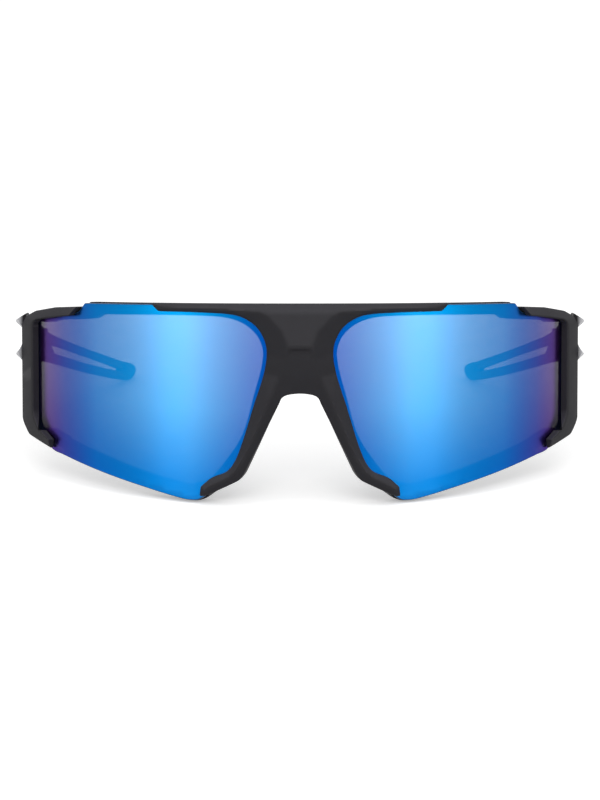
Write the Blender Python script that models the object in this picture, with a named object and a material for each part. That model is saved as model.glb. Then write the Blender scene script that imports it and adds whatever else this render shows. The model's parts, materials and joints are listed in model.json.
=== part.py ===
"""Sports sunglasses: a one-piece shield lens in a rear frame, with a front cover and two folding arms.

The pieces are modelled in the lens frame: its origin is the middle of the lens's front face, +X is
the wearer's left, +Y runs back towards the face and +Z is up. An empty then tilts the glasses until
they stand on the lower corners of the frame and on the tips of both arms, as they do on a table.
"""

import math

import bmesh
import bpy
from mathutils import Matrix, Vector
from mathutils.geometry import delaunay_2d_cdt

# Clearances
SEAT_GAP = 0.0003  # between pieces that touch
RUNNING_GAP = 0.0001  # round the hinge's metal parts
OVERRUN = 0.001  # how far a cut runs past what it cuts
SHARP_ANGLE = math.radians(24)  # edges sharper than this are not shaded smooth
MITRE_LIMIT_SHARE = 0.5
CORNER_TURN = math.radians(42)  # sharper turns of an outline stay corners
CURVE_STEPS = 3  # between two points of a curved outline

# Lens: part of a cylinder whose axis stands behind it
LENS_RADIUS = 0.090
LENS_HALF_WIDTH = 0.0795  # measured along the curve
LENS_HALF_HEIGHT = 0.025
LENS_THICKNESS = 0.002
LENS_CHAMFER = 0.0003
WRAP_STEP = 0.004  # width of the flat strips that a curved face is made of

# Rear frame
RIM_THICKNESS = 0.0032
RIM_PROUD = 0.00025  # how far the rim shows past the lens's edge
BRACKET_OVERHANG = 0.0045  # past the lens's end
BRACKET_RISE = 0.0022  # ridge above the lens
BRACKET_EDGE_RISE = 0.0012
BRACKET_DEPTH = 0.0059  # behind the lens's front face
NOSE_LIP = 0.001  # ridge of the rim that the lens's nose notch sits on

# Front cover
COVER_EDGE_RISE = 0.0013
COVER_CREST_RISE = 0.0027
COVER_PANEL_RISE = 0.0042
COVER_LEDGE = 0.0009
COVER_ARM_RISE = 0.0024

# Bridge screws
BRIDGE_SCREW_RADIUS = 0.0008
BRIDGE_SCREW_HEAD_RADIUS = 0.0015
BRIDGE_SCREW_HEAD_HEIGHT = 0.0009
BRIDGE_SCREW_BITE = 0.0016  # length inside the cover
SCREW_SLOT_WIDTH = 0.0004
SCREW_SLOT_DEPTH = 0.0004
SCREW_CHAMFER = 0.0001

# Nose pads
PAD_LENGTH = 0.016
PAD_DEPTH = 0.0075
PAD_THICKNESS = 0.0034
PAD_STANDOFF = 0.0019  # between the rim's back and the pad
PAD_LEAN = math.radians(28)  # along the nose arm
PAD_SPLAY = math.radians(8)  # opening towards the face
PAD_SQUARENESS_SHARE = 0.72  # 1 makes an ellipsoid, less a squarer pad
CORE_RADIUS = 0.0009
CORE_BITE = 0.0016  # length inside the rim
CORE_REACH = 0.005  # length inside the pad

# Hinges
HINGE_SETBACK = 0.0031  # axis behind the end face of the bracket
HINGE_MIDDLE = 0.0121  # height of the knuckle's middle
KNUCKLE_HEIGHT = 0.003
KNUCKLE_RADIUS = 0.0024
LUG_HEIGHT = 0.0021
LUG_REACH = 0.006
HINGE_SCREW_RADIUS = 0.0007
HINGE_SCREW_HEAD_RADIUS = 0.0014
HINGE_SCREW_HEAD_HEIGHT = 0.0008
HINGE_WASHER_THICKNESS = 0.0003
BUSH_WALL = 0.0003
HINGE_NUT_RADIUS = 0.0013
HINGE_NUT_HEIGHT = 0.0011

# Arms
ARM_LENGTH = 0.097  # from the hinge to the start of the rubber tip
ARM_TOE_IN = math.radians(9.1)
ARM_INNER_OFFSET = 0.0004  # inner face inside the hinge axis, beside it
ARM_THICKNESS = 0.0044
ARM_HALF_HEIGHT = 0.0039
ARM_DROP = 0.0126  # fall of the middle line along the arm
ARM_SAG = 0.0007  # how far that line bows up
RIDGE_HEIGHT = 0.0033
ARM_FRONT_GAP = 0.00035
TONGUE_LENGTH = 0.01
TONGUE_THICKNESS = 0.0014
TONGUE_HALF_HEIGHT = 0.0012
TIP_LENGTH = 0.014
TIP_HALF_HEIGHT = 0.0031
TIP_THICKNESS = 0.004

# Feet
FOOT_FLAT = 0.0002  # depth of the flats that the glasses stand on

# Outlines on the lens face, as shares of its half width and half height. A width share over 1 lies
# past the lens's end: what is over 1 is a share of the bracket's overhang.
LENS_TOP_SHARES = [(0.0, 0.95), (0.75, 0.945), (0.78, 0.85)]
LENS_END_SHARES = [
    (0.81, 0.84), (0.90, 0.825), (0.975, 0.80), (1.0, 0.74), (1.0, -0.30), (0.975, -0.40),
    (0.91, -0.585),
]
LENS_BOTTOM_SHARES = [(0.85, -0.64), (0.68, -0.785), (0.52, -0.91), (0.38, -1.015), (0.345, -1.025)]
LENS_NOSE_SHARES = [
    (0.32, -1.01), (0.26, -0.86), (0.22, -0.79), (0.195, -0.72), (0.08, -0.02), (0.06, 0.075),
    (0.035, 0.125), (0.0, 0.14),
]
RIM_NOSE_SHARES = [
    (0.32, -1.02), (0.28, -0.94), (0.20, -0.815), (0.19, -0.785), (0.178, -0.735), (0.068, -0.03),
    (0.058, 0.025), (0.04, 0.06), (0.0, 0.075),
]
RIM_SIDE_SHARES = [(0.90, 0.84), (1.35, 0.70), (1.35, -0.28), (0.985, -0.40), (0.90, -0.565)]
EYE_OPENING_SHARES = [
    (0.12, 0.44), (0.15, 0.04), (0.19, -0.37), (0.26, -0.69), (0.30, -0.81), (0.37, -0.875),
    (0.40, -0.865), (0.55, -0.765), (0.975, -0.405), (0.985, -0.35), (0.985, 0.70), (0.97, 0.735),
    (0.89, 0.76), (0.74, 0.785), (0.715, 0.82), (0.69, 0.83), (0.29, 0.83), (0.20, 0.78), (0.14, 0.64),
]
BRACKET_INNER_SHARES = [
    (0.795, 0.815), (0.89, 0.785), (0.955, 0.76), (0.97, 0.735), (0.973, 0.69), (0.973, -0.20),
    (0.965, -0.275), (0.945, -0.37), (0.895, -0.48),
]
BRACKET_OUTER_SHARES = [
    (0.775, 0.905), (0.87, 0.895), (0.975, 0.85), (1.5, 0.79), (2.0, 0.70), (2.0, -0.29),
    (1.8, -0.35), (1.3, -0.45), (0.90, -0.57),
]
BRACKET_CREST_SHARE = 0.12  # width of the ridge
CLEAR_WIDTH_SHARE = 0.977  # to here nothing stands behind the lens, seen from straight in front
CLEAR_START_SHARE = 0.860
CLEAR_HEIGHT_SHARES = (-0.398, 0.728)

COVER_OUTLINE_SHARES = [
    (0.0, 0.965), (0.485, 0.965), (0.457, 0.88), (0.30, 0.87), (0.20, 0.845), (0.15, 0.77),
    (0.12, 0.66), (0.104, 0.50), (0.112, 0.275), (0.145, -0.06), (0.18, -0.42), (0.205, -0.62),
    (0.23, -0.72), (0.28, -0.79), (0.315, -0.88), (0.318, -0.975), (0.303, -0.975), (0.28, -0.945),
    (0.20, -0.825), (0.187, -0.795), (0.175, -0.74), (0.065, -0.035), (0.057, 0.02), (0.04, 0.05),
    (0.0, 0.065),
]
BROW_CREASE_SHARES = [(0.45, 0.925), (0.31, 0.91), (0.20, 0.895), (0.12, 0.875)]
PANEL_SIDE_SHARES = [(0.12, 0.875), (0.095, 0.82), (0.055, 0.68), (0.034, 0.52)]
LEDGE_SHARES = [(0.03, 0.50), (-0.03, 0.50)]
NOSE_CREST_SHARES = [
    (0.034, 0.52), (0.044, 0.40), (0.06, 0.24), (0.10, -0.03), (0.17, -0.56), (0.20, -0.71),
    (0.23, -0.795), (0.30, -0.91),
]
BRIDGE_SCREW_SHARES = {"upper": 0.76, "lower": 0.30}
PAD_WIDTH_SHARE = 0.150
PAD_HEIGHT_SHARE = -0.400
FOOT_WIDTH_SHARE = 0.345

# Arm sections, from front to back. Each row: place along the arm, then heights over the middle line
# as shares of the half height (top, upper ridge, recess top, recess bottom, lower ridge, bottom,
# inner top, inner bottom), then the ridge's and the thickness's shares.
ARM_SECTION_SHARES = [
    (-0.055, 1.92, 1.50, 0.98, -0.24, -0.76, -1.84, 0.80, -0.84, 0.35, 0.76),
    (0.000, 2.14, 1.55, 1.00, -0.20, -0.71, -1.64, 0.86, -0.84, 0.75, 0.97),
    (0.050, 2.00, 1.50, 0.98, -0.16, -0.64, -1.16, 0.90, -0.85, 0.95, 1.00),
    (0.160, 1.18, 0.92, 0.66, -0.34, -0.62, -0.94, 0.92, -0.88, 0.70, 0.84),
    (0.300, 1.00, 0.80, 0.56, -0.32, -0.56, -0.92, 0.92, -0.89, 0.50, 0.60),
    (0.600, 0.88, 0.68, 0.48, -0.30, -0.50, -0.90, 0.84, -0.86, 0.30, 0.48),
    (0.850, 0.76, 0.54, 0.32, -0.32, -0.54, -0.88, 0.72, -0.84, 0.16, 0.43),
    (1.000, 0.66, 0.44, 0.22, -0.34, -0.54, -0.86, 0.62, -0.82, 0.08, 0.42),
]
ARM_SHOULDER_SHARE = 0.62  # where the top and bottom lines lie across the thickness
SLOT_TOP_SHARES = [(0.112, 0.38), (0.29, 0.41), (0.58, 0.34), (0.80, 0.18), (0.972, 0.0)]
SLOT_BOTTOM_SHARES = [(0.978, -0.18), (0.80, -0.21), (0.45, -0.24), (0.155, -0.29)]
# Tip sections, from front to back: place, and shares of the half height and the half thickness
TIP_SECTION_SHARES = [(0.0, 0.92, 0.78), (0.15, 0.96, 0.92), (0.50, 1.0, 1.0), (0.78, 0.96, 0.96),
                      (0.92, 0.80, 0.80), (1.0, 0.46, 0.46)]
# Outline of a tip section, from the outer side over the top: across and up
TIP_OUTLINE_SHARES = [
    (1.0, 0.50), (0.70, 0.84), (0.0, 0.82), (-0.66, 0.68), (-0.96, 0.42), (-1.0, 0.12),
    (-0.90, -0.25), (-0.60, -0.66), (-0.10, -0.95), (0.50, -1.0), (1.0, -0.70),
]
RING_SIDES = 20


def clear_scene():
    for item in list(bpy.data.objects):
        bpy.data.objects.remove(item, do_unlink=True)


def finish_material(name, colour, roughness, metallic=0.0, alpha=1.0):
    made = bpy.data.materials.new(name)
    made.use_nodes = True
    shader = made.node_tree.nodes["Principled BSDF"]
    shader.inputs["Base Color"].default_value = (*colour, 1.0)
    shader.inputs["Roughness"].default_value = roughness
    shader.inputs["Metallic"].default_value = metallic
    shader.inputs["Alpha"].default_value = alpha
    made.diffuse_color = (*colour, alpha)
    return made


def carrier(name, place, parent=None):
    """An empty that carries pieces. Its place is in the lens frame."""
    made = bpy.data.objects.new(name, None)
    bpy.context.scene.collection.objects.link(made)
    made.parent = parent
    made.location = place
    return made


def add_object(name, form, side, parent, material=None):
    """Makes an object of a form modelled for the +X side, mirrored where side is -1."""
    if side < 0:
        bmesh.ops.scale(form, vec=(-1.0, 1.0, 1.0), verts=form.verts)
        bmesh.ops.reverse_faces(form, faces=form.faces)
    mesh = bpy.data.meshes.new(name)
    form.to_mesh(mesh)
    form.free()
    mesh.shade_smooth()
    mesh.set_sharp_from_angle(angle=SHARP_ANGLE)
    made = bpy.data.objects.new(name, mesh)
    bpy.context.scene.collection.objects.link(made)
    made.parent = parent
    if parent.parent:
        made.location = -parent.location
    if material:
        made.data.materials.append(material)
    else:
        made.hide_render = True
        made.display_type = "WIRE"
    return made


def combine(target, operation, others):
    for other in others:
        step = target.modifiers.new(f"{operation.lower()} {other.name}", "BOOLEAN")
        step.operation = operation
        step.object = other
        # The frame's many cuts lie close beside each other on curved walls, which needs the other solver.
        step.solver = "MANIFOLD" if target.name == "main_frame" else "EXACT"


def cut(target, *others):
    combine(target, "DIFFERENCE", others)


def join(target, *others):
    combine(target, "UNION", others)


def on_lens(width, height, rise):
    """The point over the lens face at a distance along it from its middle, a height and a rise."""
    angle = width / LENS_RADIUS
    radius = LENS_RADIUS + rise
    return Vector((radius * math.sin(angle), LENS_RADIUS - radius * math.cos(angle), height))


def along_face(share):
    """The distance along the lens face, from its middle, that a width share stands for."""
    return min(share, 1) * LENS_HALF_WIDTH + max(share - 1, 0) * BRACKET_OVERHANG


def face_points(shares):
    return [(along_face(width), height * LENS_HALF_HEIGHT) for width, height in shares]


def mirrored(points):
    return [(-width, height) for width, height in points]


def both_halves(points):
    """A closed outline from its +X half, which starts and ends on the middle line."""
    return points + mirrored(reversed(points[1:-1]))


def offset_outline(points, distance):
    """The outline moved outwards by a distance, with mitred corners."""
    count = len(points)
    area = sum(points[i - 1][0] * points[i][1] - points[i][0] * points[i - 1][1] for i in range(count))
    turn = 1.0 if area > 0 else -1.0
    moved = []
    for index in range(count):
        before, here, after = (Vector(points[(index + step) % count]) for step in (-1, 0, 1))
        normals = [Vector((line.y, -line.x)).normalized() * turn for line in (here - before, after - here)]
        middle = (normals[0] + normals[1]).normalized()
        moved.append(tuple(here + middle * (distance / max(middle.dot(normals[0]), MITRE_LIMIT_SHARE))))
    return moved


def flowing(points):
    """A closed line through the points: a curve through its gentle bends, with its corners kept."""
    places = [Vector(point) for point in points]
    count = len(places)
    ways = [(places[(index + 1) % count] - places[index]).normalized() for index in range(count)]
    corners = [ways[index - 1].angle(ways[index]) > CORNER_TURN for index in range(count)]
    through = [(places[(index + 1) % count] - places[index - 1]).normalized() for index in range(count)]
    fine = []
    for index, here in enumerate(places):
        after = (index + 1) % count
        length = (places[after] - here).length
        leave = ways[index] if corners[index] else through[index]
        reach = ways[index] if corners[after] else through[after]
        steps = 1 if corners[index] and corners[after] else CURVE_STEPS
        for t in (step / steps for step in range(steps)):
            fine.append(here * (2 * t ** 3 - 3 * t ** 2 + 1) + places[after] * (3 * t ** 2 - 2 * t ** 3)
                        + leave * (length * (t ** 3 - 2 * t ** 2 + t)) + reach * (length * (t ** 3 - t ** 2)))
    return [tuple(place) for place in fine]


def slab(outline, back, edge, creases=()):
    """A flat solid over an outline. Its front lies at the edge height, and at each crease's own.

    The flat form has the width along x, the rise along -y and the height along z.
    """
    places = [Vector(point) for point in outline]
    rises = [edge] * len(places)
    lines = [(i, (i + 1) % len(places)) for i in range(len(places))]
    for points, heights in creases:
        first = len(places)
        places += [Vector(point) for point in points]
        rises += heights
        lines += [(i, i + 1) for i in range(first, len(places) - 1)]
    tolerance = SEAT_GAP / len(places)
    fronts, _, triangles, sources, _, _ = delaunay_2d_cdt(
        places, lines, [list(range(len(outline)))], 1, tolerance)
    form = bmesh.new()
    front = []
    for place, source in zip(fronts, sources):
        front.append(form.verts.new((place.x, -rises[source[0]], place.y)))
    for triangle in triangles:
        form.faces.new([front[i] for i in triangle])
    rim = [edge_line for edge_line in form.edges if len(edge_line.link_faces) == 1]
    walls = bmesh.ops.extrude_edge_only(form, edges=rim)["geom"]
    lower = [item for item in walls if isinstance(item, bmesh.types.BMVert)]
    for point in lower:
        point.co.y = -back
    borders = [item for item in walls if isinstance(item, bmesh.types.BMEdge)]
    bmesh.ops.triangle_fill(form, use_beauty=True, edges=[e for e in borders if len(e.link_faces) == 1])
    bmesh.ops.recalc_face_normals(form, faces=form.faces)
    return form


def wrap(form):
    """Bends a flat form round the lens's cylinder, in strips."""
    widest = max(abs(point.co.x) for point in form.verts)
    steps = int(widest / WRAP_STEP)
    for index in range(-steps, steps + 1):
        everything = list(form.verts) + list(form.edges) + list(form.faces)
        bmesh.ops.bisect_plane(
            form, geom=everything, plane_co=(index * WRAP_STEP, 0, 0), plane_no=(1, 0, 0),
            dist=SEAT_GAP / RING_SIDES)
    bmesh.ops.triangulate(form, faces=form.faces)
    for point in form.verts:
        point.co = on_lens(point.co.x, point.co.z, -point.co.y)
    return form


def sweep(rings):
    """A closed solid through rings of equally many points, with flat ends."""
    form = bmesh.new()
    rows = [[form.verts.new(point) for point in ring] for ring in rings]
    for first, second in zip(rows, rows[1:]):
        for index in range(len(first)):
            after = (index + 1) % len(first)
            form.faces.new((first[index], first[after], second[after], second[index]))
    form.faces.new(rows[0])
    form.faces.new(list(reversed(rows[-1])))
    bmesh.ops.recalc_face_normals(form, faces=form.faces)
    return form


def upright_prism(points, bottom, top):
    """A solid over a plan outline, between two heights."""
    return sweep([[Vector((x, y, height)) for x, y in points] for height in (bottom, top)])


def circle_points(centre, radius, sides=RING_SIDES):
    turns = [2 * math.pi * index / sides for index in range(sides)]
    return [(centre.x + radius * math.cos(turn), centre.y + radius * math.sin(turn)) for turn in turns]


def turned(profile, sides=RING_SIDES):
    """A solid of revolution about z from a closed profile of (radius, height) points."""
    form = bmesh.new()
    rows = []
    for index in range(sides):
        turn = 2 * math.pi * index / sides
        rows.append([form.verts.new((r * math.cos(turn), r * math.sin(turn), z)) for r, z in profile])
    for index in range(sides):
        first, second = rows[index], rows[(index + 1) % sides]
        for step in range(len(profile)):
            after = (step + 1) % len(profile)
            if profile[step][0] or profile[after][0]:
                form.faces.new((first[step], first[after], second[after], second[step]))
    bmesh.ops.remove_doubles(form, verts=form.verts, dist=RUNNING_GAP / RING_SIDES)
    bmesh.ops.dissolve_degenerate(form, edges=form.edges, dist=RUNNING_GAP / RING_SIDES)
    bmesh.ops.recalc_face_normals(form, faces=form.faces)
    return form


def slotted_screw(shank_radius, head_radius, head_height, length):
    """A screw along z with its head's top at zero and its shank below, with a driver slot."""
    profile = [
        (0, 0), (head_radius - SCREW_CHAMFER, 0), (head_radius, -SCREW_CHAMFER),
        (head_radius, -head_height), (shank_radius, -head_height),
        (shank_radius, -length + SCREW_CHAMFER), (shank_radius - SCREW_CHAMFER, -length), (0, -length),
    ]
    return turned(profile)


def box_form(low, high):
    form = bmesh.new()
    bmesh.ops.create_cube(form, size=1.0)
    for point in form.verts:
        for axis in range(3):
            point.co[axis] = high[axis] if point.co[axis] > 0 else low[axis]
    return form


# Shared places in the lens frame
RIM_FRONT = -(LENS_THICKNESS + SEAT_GAP)
RIM_BACK = RIM_FRONT - RIM_THICKNESS
FRAME_HALF_WIDTH = along_face(2)
END_ANGLE = FRAME_HALF_WIDTH / LENS_RADIUS
END_NORMAL = Vector((math.cos(END_ANGLE), math.sin(END_ANGLE), 0))
HINGE = on_lens(FRAME_HALF_WIDTH, 0, -BRACKET_DEPTH) + END_NORMAL * HINGE_SETBACK
KNUCKLE_BOTTOM = HINGE_MIDDLE - KNUCKLE_HEIGHT / 2
KNUCKLE_TOP = HINGE_MIDDLE + KNUCKLE_HEIGHT / 2
LUG_SPANS = [
    (KNUCKLE_BOTTOM - SEAT_GAP - LUG_HEIGHT, KNUCKLE_BOTTOM - SEAT_GAP),
    (KNUCKLE_TOP + SEAT_GAP, KNUCKLE_TOP + SEAT_GAP + LUG_HEIGHT),
]


def lens_outline():
    shares = LENS_TOP_SHARES + LENS_END_SHARES + LENS_BOTTOM_SHARES + LENS_NOSE_SHARES
    return both_halves(face_points(shares))


def rim_outline():
    """The lens's outline, a little proud, run on under the brackets and along the nose."""
    proud = offset_outline(lens_outline(), RIM_PROUD)
    top = proud[:len(LENS_TOP_SHARES)]
    first = len(LENS_TOP_SHARES) + len(LENS_END_SHARES)
    bottom = proud[first:first + len(LENS_BOTTOM_SHARES)]
    return both_halves(top + face_points(RIM_SIDE_SHARES) + bottom + face_points(RIM_NOSE_SHARES))


def bracket_rings():
    """Sections of the C-shaped bracket, from its upper end to its lower end, in the flat form."""
    rings = []
    for inner, outer in zip(face_points(BRACKET_INNER_SHARES), face_points(BRACKET_OUTER_SHARES)):
        crest = tuple(a + (b - a) * BRACKET_CREST_SHARE for a, b in zip(inner, outer))
        section = [(inner, -BRACKET_DEPTH), (inner, BRACKET_RISE), (crest, BRACKET_RISE),
                   (outer, BRACKET_EDGE_RISE), (outer, -BRACKET_DEPTH)]
        rings.append([Vector((place[0], -rise, place[1])) for place, rise in section])
    return rings


def lug_plan():
    """Plan of a frame lug: round the hinge axis, and forward into the bracket."""
    back = [math.pi * index / (RING_SIDES / 2) for index in range(int(RING_SIDES / 2) + 1)]
    plan = [(HINGE.x + KNUCKLE_RADIUS * math.cos(turn), HINGE.y + KNUCKLE_RADIUS * math.sin(turn))
            for turn in back]
    plan += [(HINGE.x - KNUCKLE_RADIUS, HINGE.y - LUG_REACH), (HINGE.x + KNUCKLE_RADIUS, HINGE.y - LUG_REACH)]
    return plan


def bridge_hole(name, radius, back, front, height, root):
    """A round cutter through the bridge, along y at the middle line."""
    form = turned([(0, back), (radius, back), (radius, front), (0, front)])
    bmesh.ops.rotate(form, matrix=Matrix.Rotation(math.pi / 2, 3, "X"), verts=form.verts)
    bmesh.ops.translate(form, vec=(0, 0, height), verts=form.verts)
    return add_object(name, form, 1, root)


def build_frame(root, floor, material):
    plate = wrap(slab(flowing(rim_outline()), RIM_BACK, RIM_FRONT + NOSE_LIP))
    frame = add_object("main_frame", plate, 1, root, material)
    for side, label in ((1, "left"), (-1, "right")):
        join(frame, add_object(f"bracket_{label}", wrap(sweep(bracket_rings())), side, root))
        for index, (bottom, top) in enumerate(LUG_SPANS):
            lug = upright_prism(lug_plan(), bottom, top)
            join(frame, add_object(f"lug_{label}_{index}", lug, side, root))
    groove = wrap(slab(offset_outline(flowing(lens_outline()), SEAT_GAP), RIM_FRONT, SEAT_GAP))
    cut(frame, add_object("groove_cutter", groove, 1, root))
    for side, label in ((1, "left"), (-1, "right")):
        eye = flowing(face_points(EYE_OPENING_SHARES))
        opening = slab(eye, -BRACKET_DEPTH - OVERRUN, RIM_FRONT + OVERRUN)
        cut(frame, add_object(f"opening_{label}", wrap(opening), side, root))
        for index, (low, high) in enumerate(clear_boxes()):
            cut(frame, add_object(f"clear_box_{label}_{index}", box_form(low, high), side, root))
        cut(frame, *hinge_cutters(label, side, root))
        cut(frame, core_cutter(label, side, root))
    for label, share in BRIDGE_SCREW_SHARES.items():
        height = share * LENS_HALF_HEIGHT
        hole = BRIDGE_SCREW_RADIUS + SEAT_GAP
        seat = RIM_BACK + BRIDGE_SCREW_HEAD_HEIGHT + SEAT_GAP
        cut(frame, bridge_hole(f"frame_hole_{label}", hole, RIM_BACK - OVERRUN, RIM_FRONT + OVERRUN,
                               height, root))
        cut(frame, bridge_hole(f"head_recess_{label}", BRIDGE_SCREW_HEAD_RADIUS + SEAT_GAP,
                               RIM_BACK - OVERRUN, seat, height, root))
    cut(frame, floor)
    return frame


def clear_boxes():
    """What is cut away behind the lens's end, to the inner side of the hinge's lugs beside them."""
    inner = on_lens(CLEAR_START_SHARE * LENS_HALF_WIDTH, 0, 0)
    outer = on_lens(CLEAR_WIDTH_SHARE * LENS_HALF_WIDTH, 0, 0)
    bottom, top = (share * LENS_HALF_HEIGHT for share in CLEAR_HEIGHT_SHARES)
    beside_lugs = HINGE.x - KNUCKLE_RADIUS
    low_lug, high_lug = LUG_SPANS[0][0] - SEAT_GAP, LUG_SPANS[1][1] + SEAT_GAP
    spans = ((bottom, low_lug, outer.x), (low_lug, high_lug, beside_lugs), (high_lug, top, outer.x))
    return [((inner.x, inner.y, low), (width, HINGE.y, high)) for low, high, width in spans]


def hinge_cutters(label, side, root):
    """The screw's bore through both lugs, the head's recess and the nut's pocket."""
    lower, upper = LUG_SPANS
    head_seat = upper[1] - HINGE_SCREW_HEAD_HEIGHT - HINGE_WASHER_THICKNESS - 2 * RUNNING_GAP
    nut_seat = lower[0] + HINGE_NUT_HEIGHT + RUNNING_GAP
    spans = {
        "bore": (HINGE_SCREW_RADIUS + RUNNING_GAP, lower[0] - OVERRUN, upper[1] + OVERRUN),
        "head_recess": (HINGE_SCREW_HEAD_RADIUS + RUNNING_GAP, head_seat, upper[1] + OVERRUN),
        "nut_pocket": (HINGE_NUT_RADIUS + RUNNING_GAP, lower[0] - OVERRUN, nut_seat),
    }
    return [add_object(f"hinge_{name}_{label}", upright_prism(circle_points(HINGE, radius), low, high),
                       side, root)
            for name, (radius, low, high) in spans.items()]


def build_lens(root, floor, material):
    outline = flowing(lens_outline())
    inner = offset_outline(outline, -LENS_CHAMFER)
    loop = inner + inner[:1]
    form = slab(outline, -LENS_THICKNESS, -LENS_CHAMFER, [(loop, [0.0] * len(loop))])
    lens = add_object("shield_lens", wrap(form), 1, root, material)
    for label, share in BRIDGE_SCREW_SHARES.items():
        cut(lens, bridge_hole(f"lens_hole_{label}", BRIDGE_SCREW_RADIUS + SEAT_GAP,
                              -LENS_THICKNESS - OVERRUN, OVERRUN, share * LENS_HALF_HEIGHT, root))
    cut(lens, floor)
    return lens


def cover_creases():
    """The cover's crease lines, each with its rises: brow, panel, ledge and nose arms."""
    brow = face_points(BROW_CREASE_SHARES)
    panel = face_points(PANEL_SIDE_SHARES)
    nose = face_points(NOSE_CREST_SHARES)
    top, bottom = panel[0][1], panel[-1][1]
    brow_rises = [(COVER_CREST_RISE + COVER_EDGE_RISE) / 2] + [COVER_CREST_RISE] * (len(brow) - 1)
    panel_rises = [COVER_CREST_RISE + (COVER_PANEL_RISE - COVER_CREST_RISE) * (top - height) / (top - bottom)
                   for _, height in panel]
    ledge_rise = COVER_PANEL_RISE - COVER_LEDGE
    nose_rises = [COVER_PANEL_RISE, ledge_rise, COVER_CREST_RISE, COVER_CREST_RISE]
    nose_rises += [COVER_ARM_RISE] * (len(nose) - len(nose_rises))
    lines = []
    for points, rises in ((brow, brow_rises), (panel, panel_rises), (nose, nose_rises)):
        lines += [(points, rises), (mirrored(points), rises)]
    for end, rise in ((panel[0], COVER_CREST_RISE), (panel[-1], COVER_PANEL_RISE)):
        lines.append(([end] + mirrored([end]), [rise] * 2))
    lines.append((face_points(LEDGE_SHARES), [ledge_rise] * len(LEDGE_SHARES)))
    return lines


def build_cover(root, material):
    outline = flowing(both_halves(face_points(COVER_OUTLINE_SHARES)))
    cover = wrap(slab(outline, SEAT_GAP, COVER_EDGE_RISE, cover_creases()))
    cover = add_object("bridge_cover", cover, 1, root, material)
    for label, share in BRIDGE_SCREW_SHARES.items():
        cut(cover, bridge_hole(f"cover_hole_{label}", BRIDGE_SCREW_RADIUS + SEAT_GAP, -OVERRUN,
                               SEAT_GAP + BRIDGE_SCREW_BITE + SEAT_GAP, share * LENS_HALF_HEIGHT, root))
    return cover


def build_bridge_screws(root, material):
    for label, share in BRIDGE_SCREW_SHARES.items():
        head_top = RIM_BACK
        length = SEAT_GAP + BRIDGE_SCREW_BITE - head_top
        form = slotted_screw(BRIDGE_SCREW_RADIUS, BRIDGE_SCREW_HEAD_RADIUS, BRIDGE_SCREW_HEAD_HEIGHT, length)
        bmesh.ops.rotate(form, matrix=Matrix.Rotation(-math.pi / 2, 3, "X"), verts=form.verts)
        bmesh.ops.translate(form, vec=(0, -head_top, share * LENS_HALF_HEIGHT), verts=form.verts)
        screw = add_object(f"bridge_screw_{label}", form, 1, root, material)
        low = (-BRIDGE_SCREW_HEAD_RADIUS - OVERRUN, -head_top - SCREW_SLOT_DEPTH, -SCREW_SLOT_WIDTH / 2)
        high = (BRIDGE_SCREW_HEAD_RADIUS + OVERRUN, -head_top + OVERRUN, SCREW_SLOT_WIDTH / 2)
        slot = box_form(low, high)
        bmesh.ops.translate(slot, vec=(0, 0, share * LENS_HALF_HEIGHT), verts=slot.verts)
        cut(screw, add_object(f"bridge_slot_{label}", slot, 1, root))


def pad_frame():
    """The matrix that stands a nose pad behind its nose arm: z along the arm, y away from the rim."""
    place = on_lens(PAD_WIDTH_SHARE * LENS_HALF_WIDTH, PAD_HEIGHT_SHARE * LENS_HALF_HEIGHT, RIM_BACK)
    turn = Matrix.Rotation(-PAD_SPLAY, 4, "Z") @ Matrix.Rotation(-PAD_LEAN, 4, "Y")
    return Matrix.Translation(place) @ turn


def core_form(radius, start, end):
    form = turned([(0, start), (radius, start), (radius, end), (0, end)])
    bmesh.ops.rotate(form, matrix=Matrix.Rotation(-math.pi / 2, 3, "X"), verts=form.verts)
    bmesh.ops.transform(form, matrix=pad_frame(), verts=form.verts)
    return form


def core_cutter(label, side, root):
    form = core_form(CORE_RADIUS + SEAT_GAP, -CORE_BITE - SEAT_GAP, OVERRUN)
    return add_object(f"core_socket_{label}", form, side, root)


def build_nose_pad(label, side, root, rubber, steel):
    form = bmesh.new()
    bmesh.ops.create_uvsphere(form, u_segments=16, v_segments=10, radius=1.0)
    for point in form.verts:
        squared = [math.copysign(abs(value) ** PAD_SQUARENESS_SHARE, value) for value in point.co]
        point.co = Vector((squared[0] * PAD_THICKNESS / 2, squared[1] * PAD_DEPTH / 2 + PAD_DEPTH / 2
                           + PAD_STANDOFF, squared[2] * PAD_LENGTH / 2))
    bmesh.ops.transform(form, matrix=pad_frame(), verts=form.verts)
    pad = add_object(f"nose_pad_{label}", form, side, root, rubber)
    reach = PAD_STANDOFF + CORE_REACH
    pocket = core_form(CORE_RADIUS + SEAT_GAP, 0, reach + SEAT_GAP)
    cut(pad, add_object(f"pad_pocket_{label}", pocket, side, root))
    add_object(f"nose_pad_core_{label}", core_form(CORE_RADIUS, -CORE_BITE, reach), side, root, steel)


def arm_inner(share):
    """Inner face of the arm: its x and y at a share of the length."""
    along = share * ARM_LENGTH
    return HINGE.x - ARM_INNER_OFFSET - along * math.tan(ARM_TOE_IN), HINGE.y + along


def arm_middle(share):
    """Height of the arm's middle line at a share of its length."""
    bow = 4 * ARM_SAG * share * (1 - share)
    return HINGE_MIDDLE + RUNNING_GAP - share * ARM_DROP - bow


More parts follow.
